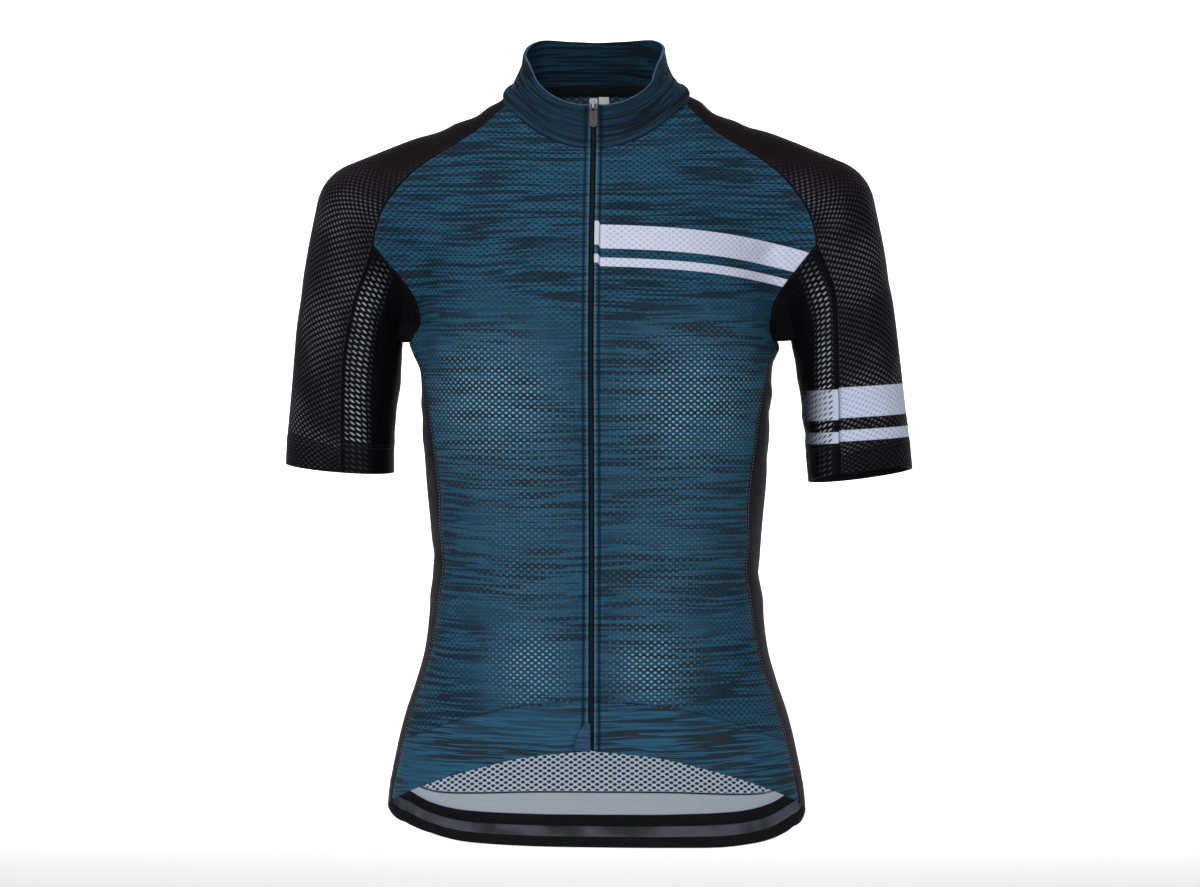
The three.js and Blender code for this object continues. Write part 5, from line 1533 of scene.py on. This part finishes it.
def along_rim(name, rim, inset):
    """Points and outward directions on a finished panel, at a distance in from one of its rims."""
    surface, normals = surfaces[name]
    if rim in "tb":
        surface, normals = surface.swapaxes(0, 1), normals.swapaxes(0, 1)
    if rim in "br":
        surface, normals = surface[:, ::-1], normals[:, ::-1]
    column = np.array([np.interp(inset, run, np.arange(len(run))) for run in runs_across(surface)])
    low = np.minimum(column.astype(int), surface.shape[1] - 2)
    share = (column - low)[:, None]
    row = np.arange(len(surface))
    return surface[row, low] * (1 - share) + surface[row, low + 1] * share, normals[row, low]


def sew(name, rows, thread, turn=0.0):
    """One joined mesh of stitches laid end to end along rows of points."""
    shape = np.array([vertex.co for vertex in stitch.data.vertices]) * STITCH
    places = []
    for line, normals in rows:
        run = run_of(line)
        for number, at in enumerate(np.arange(STITCH_PITCH / 2, run[-1], STITCH_PITCH)):
            here, ahead, out = (np.array([np.interp(at + shift, run, column) for column in values.T])
                                for values, shift in ((line, 0), (line, 0.5), (normals, 0)))
            forwards = unit(ahead - here)
            sideways = unit(np.cross(out, forwards))
            slant = turn if number % 2 else -turn
            first = forwards * math.cos(slant) + sideways * math.sin(slant)
            second = sideways * math.cos(slant) - forwards * math.sin(slant)
            out = unit(out)
            places.append(shape @ np.array([first, second, out]) + here + out * STITCH_RAISED)
    piece = joined_copies(name, stitch, places, thread)
    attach(piece, "jersey")


def thread(name, dark, light):
    finish = Finish(name, 0.6, specular=0.2)
    x, y, z = finish.place()
    finish.colour(finish.mix(finish.noise(x * 1500, y * 1500, z * 1500), tone(*dark), tone(*light)))
    return finish.material


navy_thread = thread("navy thread", (10, 20, 30), (34, 58, 78))
black_thread = thread("black thread", (14, 14, 17), (46, 46, 52))
grey_thread = thread("grey thread", (70, 78, 86), (150, 158, 166))
both = SIDES.values()

# Rows of stitches: their panels, rims and distances in from the rim, thread, slot and slant
ROWS = {
    "zip_topstitching": ([(f"{word}_front{band}", "l", 4.9) for word in both for band in ("", "_band")],
                         navy_thread, "printed_mesh", 0.0),
    "collar_stitching": ([("stand_collar", "t", 5.4)], navy_thread, "collar_knit", 0.0),
    "front_seam_stitching": ([(panel + "_band", "t", 1.6)
                              for panel in ("left_front", "right_front", "back_panel")],
                             navy_thread, "printed_knit", 0.0),
    "raglan_stitching": ([(f"{word}_sleeve", rim, 2.0) for word in both for rim in "lr"],
                         black_thread, "black_mesh", 0.0),
    "armhole_stitching": ([(f"{word}_under_sleeve", "t", 1.7) for word in both],
                          black_thread, "coarse_mesh", 0.0),
    "sleeve_hem_stitching": ([(f"{word}_{part}", "b", SLEEVE_HEM - inset) for word in both
                              for part in ("sleeve", "under_sleeve") for inset in (1.8, 4.6)],
                             black_thread, "black_mesh", 0.0),
    "side_seam_stitching": ([(f"{word}_side_panel", rim, 1.7) for word in both for rim in "lr"],
                            grey_thread, "black_knit", 0.5),
    "gripper_stitching": ([("hem_gripper", "t", inset) for inset in (1.4, 4.0)],
                          black_thread, "elastic", 0.4),
    "pocket_stitching": ([("pockets", "t", POCKET_HEM), ("pockets", "b", 1.4)],
                         navy_thread, "printed_knit", 0.0),
}
for name, (rims, colour, slot, slant) in ROWS.items():
    sew(name, [along_rim(*rim) for rim in rims], colour, slant)
pocket, outwards = surfaces["pockets"]
dividers = [np.abs(pocket[0, :, 0] - at).argmin() for at in (-POCKET_DIVIDER, POCKET_DIVIDER)]
lines = [(pocket[:, i + step], outwards[:, i + step]) for i in dividers for step in (0, 1)]
sew("pocket_divider_stitching", lines, navy_thread)
bpy.data.objects.remove(stitch)


# Floor, light and camera
# A plain pale floor that curves up behind, soft studio light, and the photograph's viewpoint.
FLOOR, REACH, RISE, CURVE_FROM, CURVE = -0.92, 12.0, 9.0, 4.8, 1.5
PALE_FLOOR, ROOM_LIGHT = (0.9, 0.9, 0.9, 1), 0.44
curve = [(CURVE_FROM + CURVE * math.sin(a), FLOOR + CURVE - CURVE * math.cos(a))
         for a in np.linspace(0, math.pi / 2, 13)]
profile = [(-REACH, FLOOR)] + curve + [(CURVE_FROM + CURVE, RISE)]
verts = [(x, y, z) for y, z in profile for x in (-REACH, REACH)]
faces = [(2 * i, 2 * i + 1, 2 * i + 3, 2 * i + 2) for i in range(len(profile) - 1)]
mesh = bpy.data.meshes.new("studio_floor")
mesh.from_pydata(verts, [], faces)
mesh.polygons.foreach_set("use_smooth", np.ones(len(faces), bool))
finish = Finish("pale floor", 0.9)
finish.shader.inputs["Base Color"].default_value = PALE_FLOOR
mesh.materials.append(finish.material)
into_scene("studio_floor", mesh)

world = bpy.data.worlds.new("studio")
world.use_nodes = True
background = world.node_tree.nodes["Background"]
background.inputs["Color"].default_value = (1, 1, 1, 1)
background.inputs["Strength"].default_value = ROOM_LIGHT
bpy.context.scene.world = world
bpy.context.scene.view_settings.view_transform = "Standard"


def soft_light(name, place, towards, size, power):
    data = bpy.data.lights.new(name, "AREA")
    data.shape = "RECTANGLE"
    data.size, data.size_y = size
    data.energy = power
    lamp = into_scene(name, data)
    lamp.location = place
    lamp.rotation_euler = (Vector(towards) - Vector(place)).to_track_quat("-Z", "Y").to_euler()


WAIST = (0, 0, -0.3)
soft_light("key", (-1.3, -2.3, 1.6), WAIST, (1.2, 1.0), 52)
soft_light("fill", (1.6, -2.4, 0.4), WAIST, (1.4, 1.8), 16)
for side, word in ((-1, "left"), (1, "right")):
    soft_light(f"backdrop {word}", (1.9 * side, 3.4, 1.9), (1.5 * side, 6.2, -0.2), (2.8, 1.8), 150)

CAMERA_TURN, CAMERA_AWAY, CAMERA_HEIGHT = math.radians(2.3), 3.0, -0.215
PHOTO_WIDTH, PIXEL, SENSOR = 1200, 0.853 * MM, 36
aim = Vector((0.003, 0, -0.2947))
camera_data = bpy.data.cameras.new("photo view")
camera_data.sensor_width = SENSOR
camera_data.lens = SENSOR * CAMERA_AWAY / (PHOTO_WIDTH * PIXEL)
camera = into_scene("photo view", camera_data)
camera.location = (CAMERA_AWAY * math.sin(CAMERA_TURN), -CAMERA_AWAY * math.cos(CAMERA_TURN), CAMERA_HEIGHT)
camera.rotation_euler = (aim - camera.location).to_track_quat("-Z", "Y").to_euler()
bpy.context.scene.camera = camera
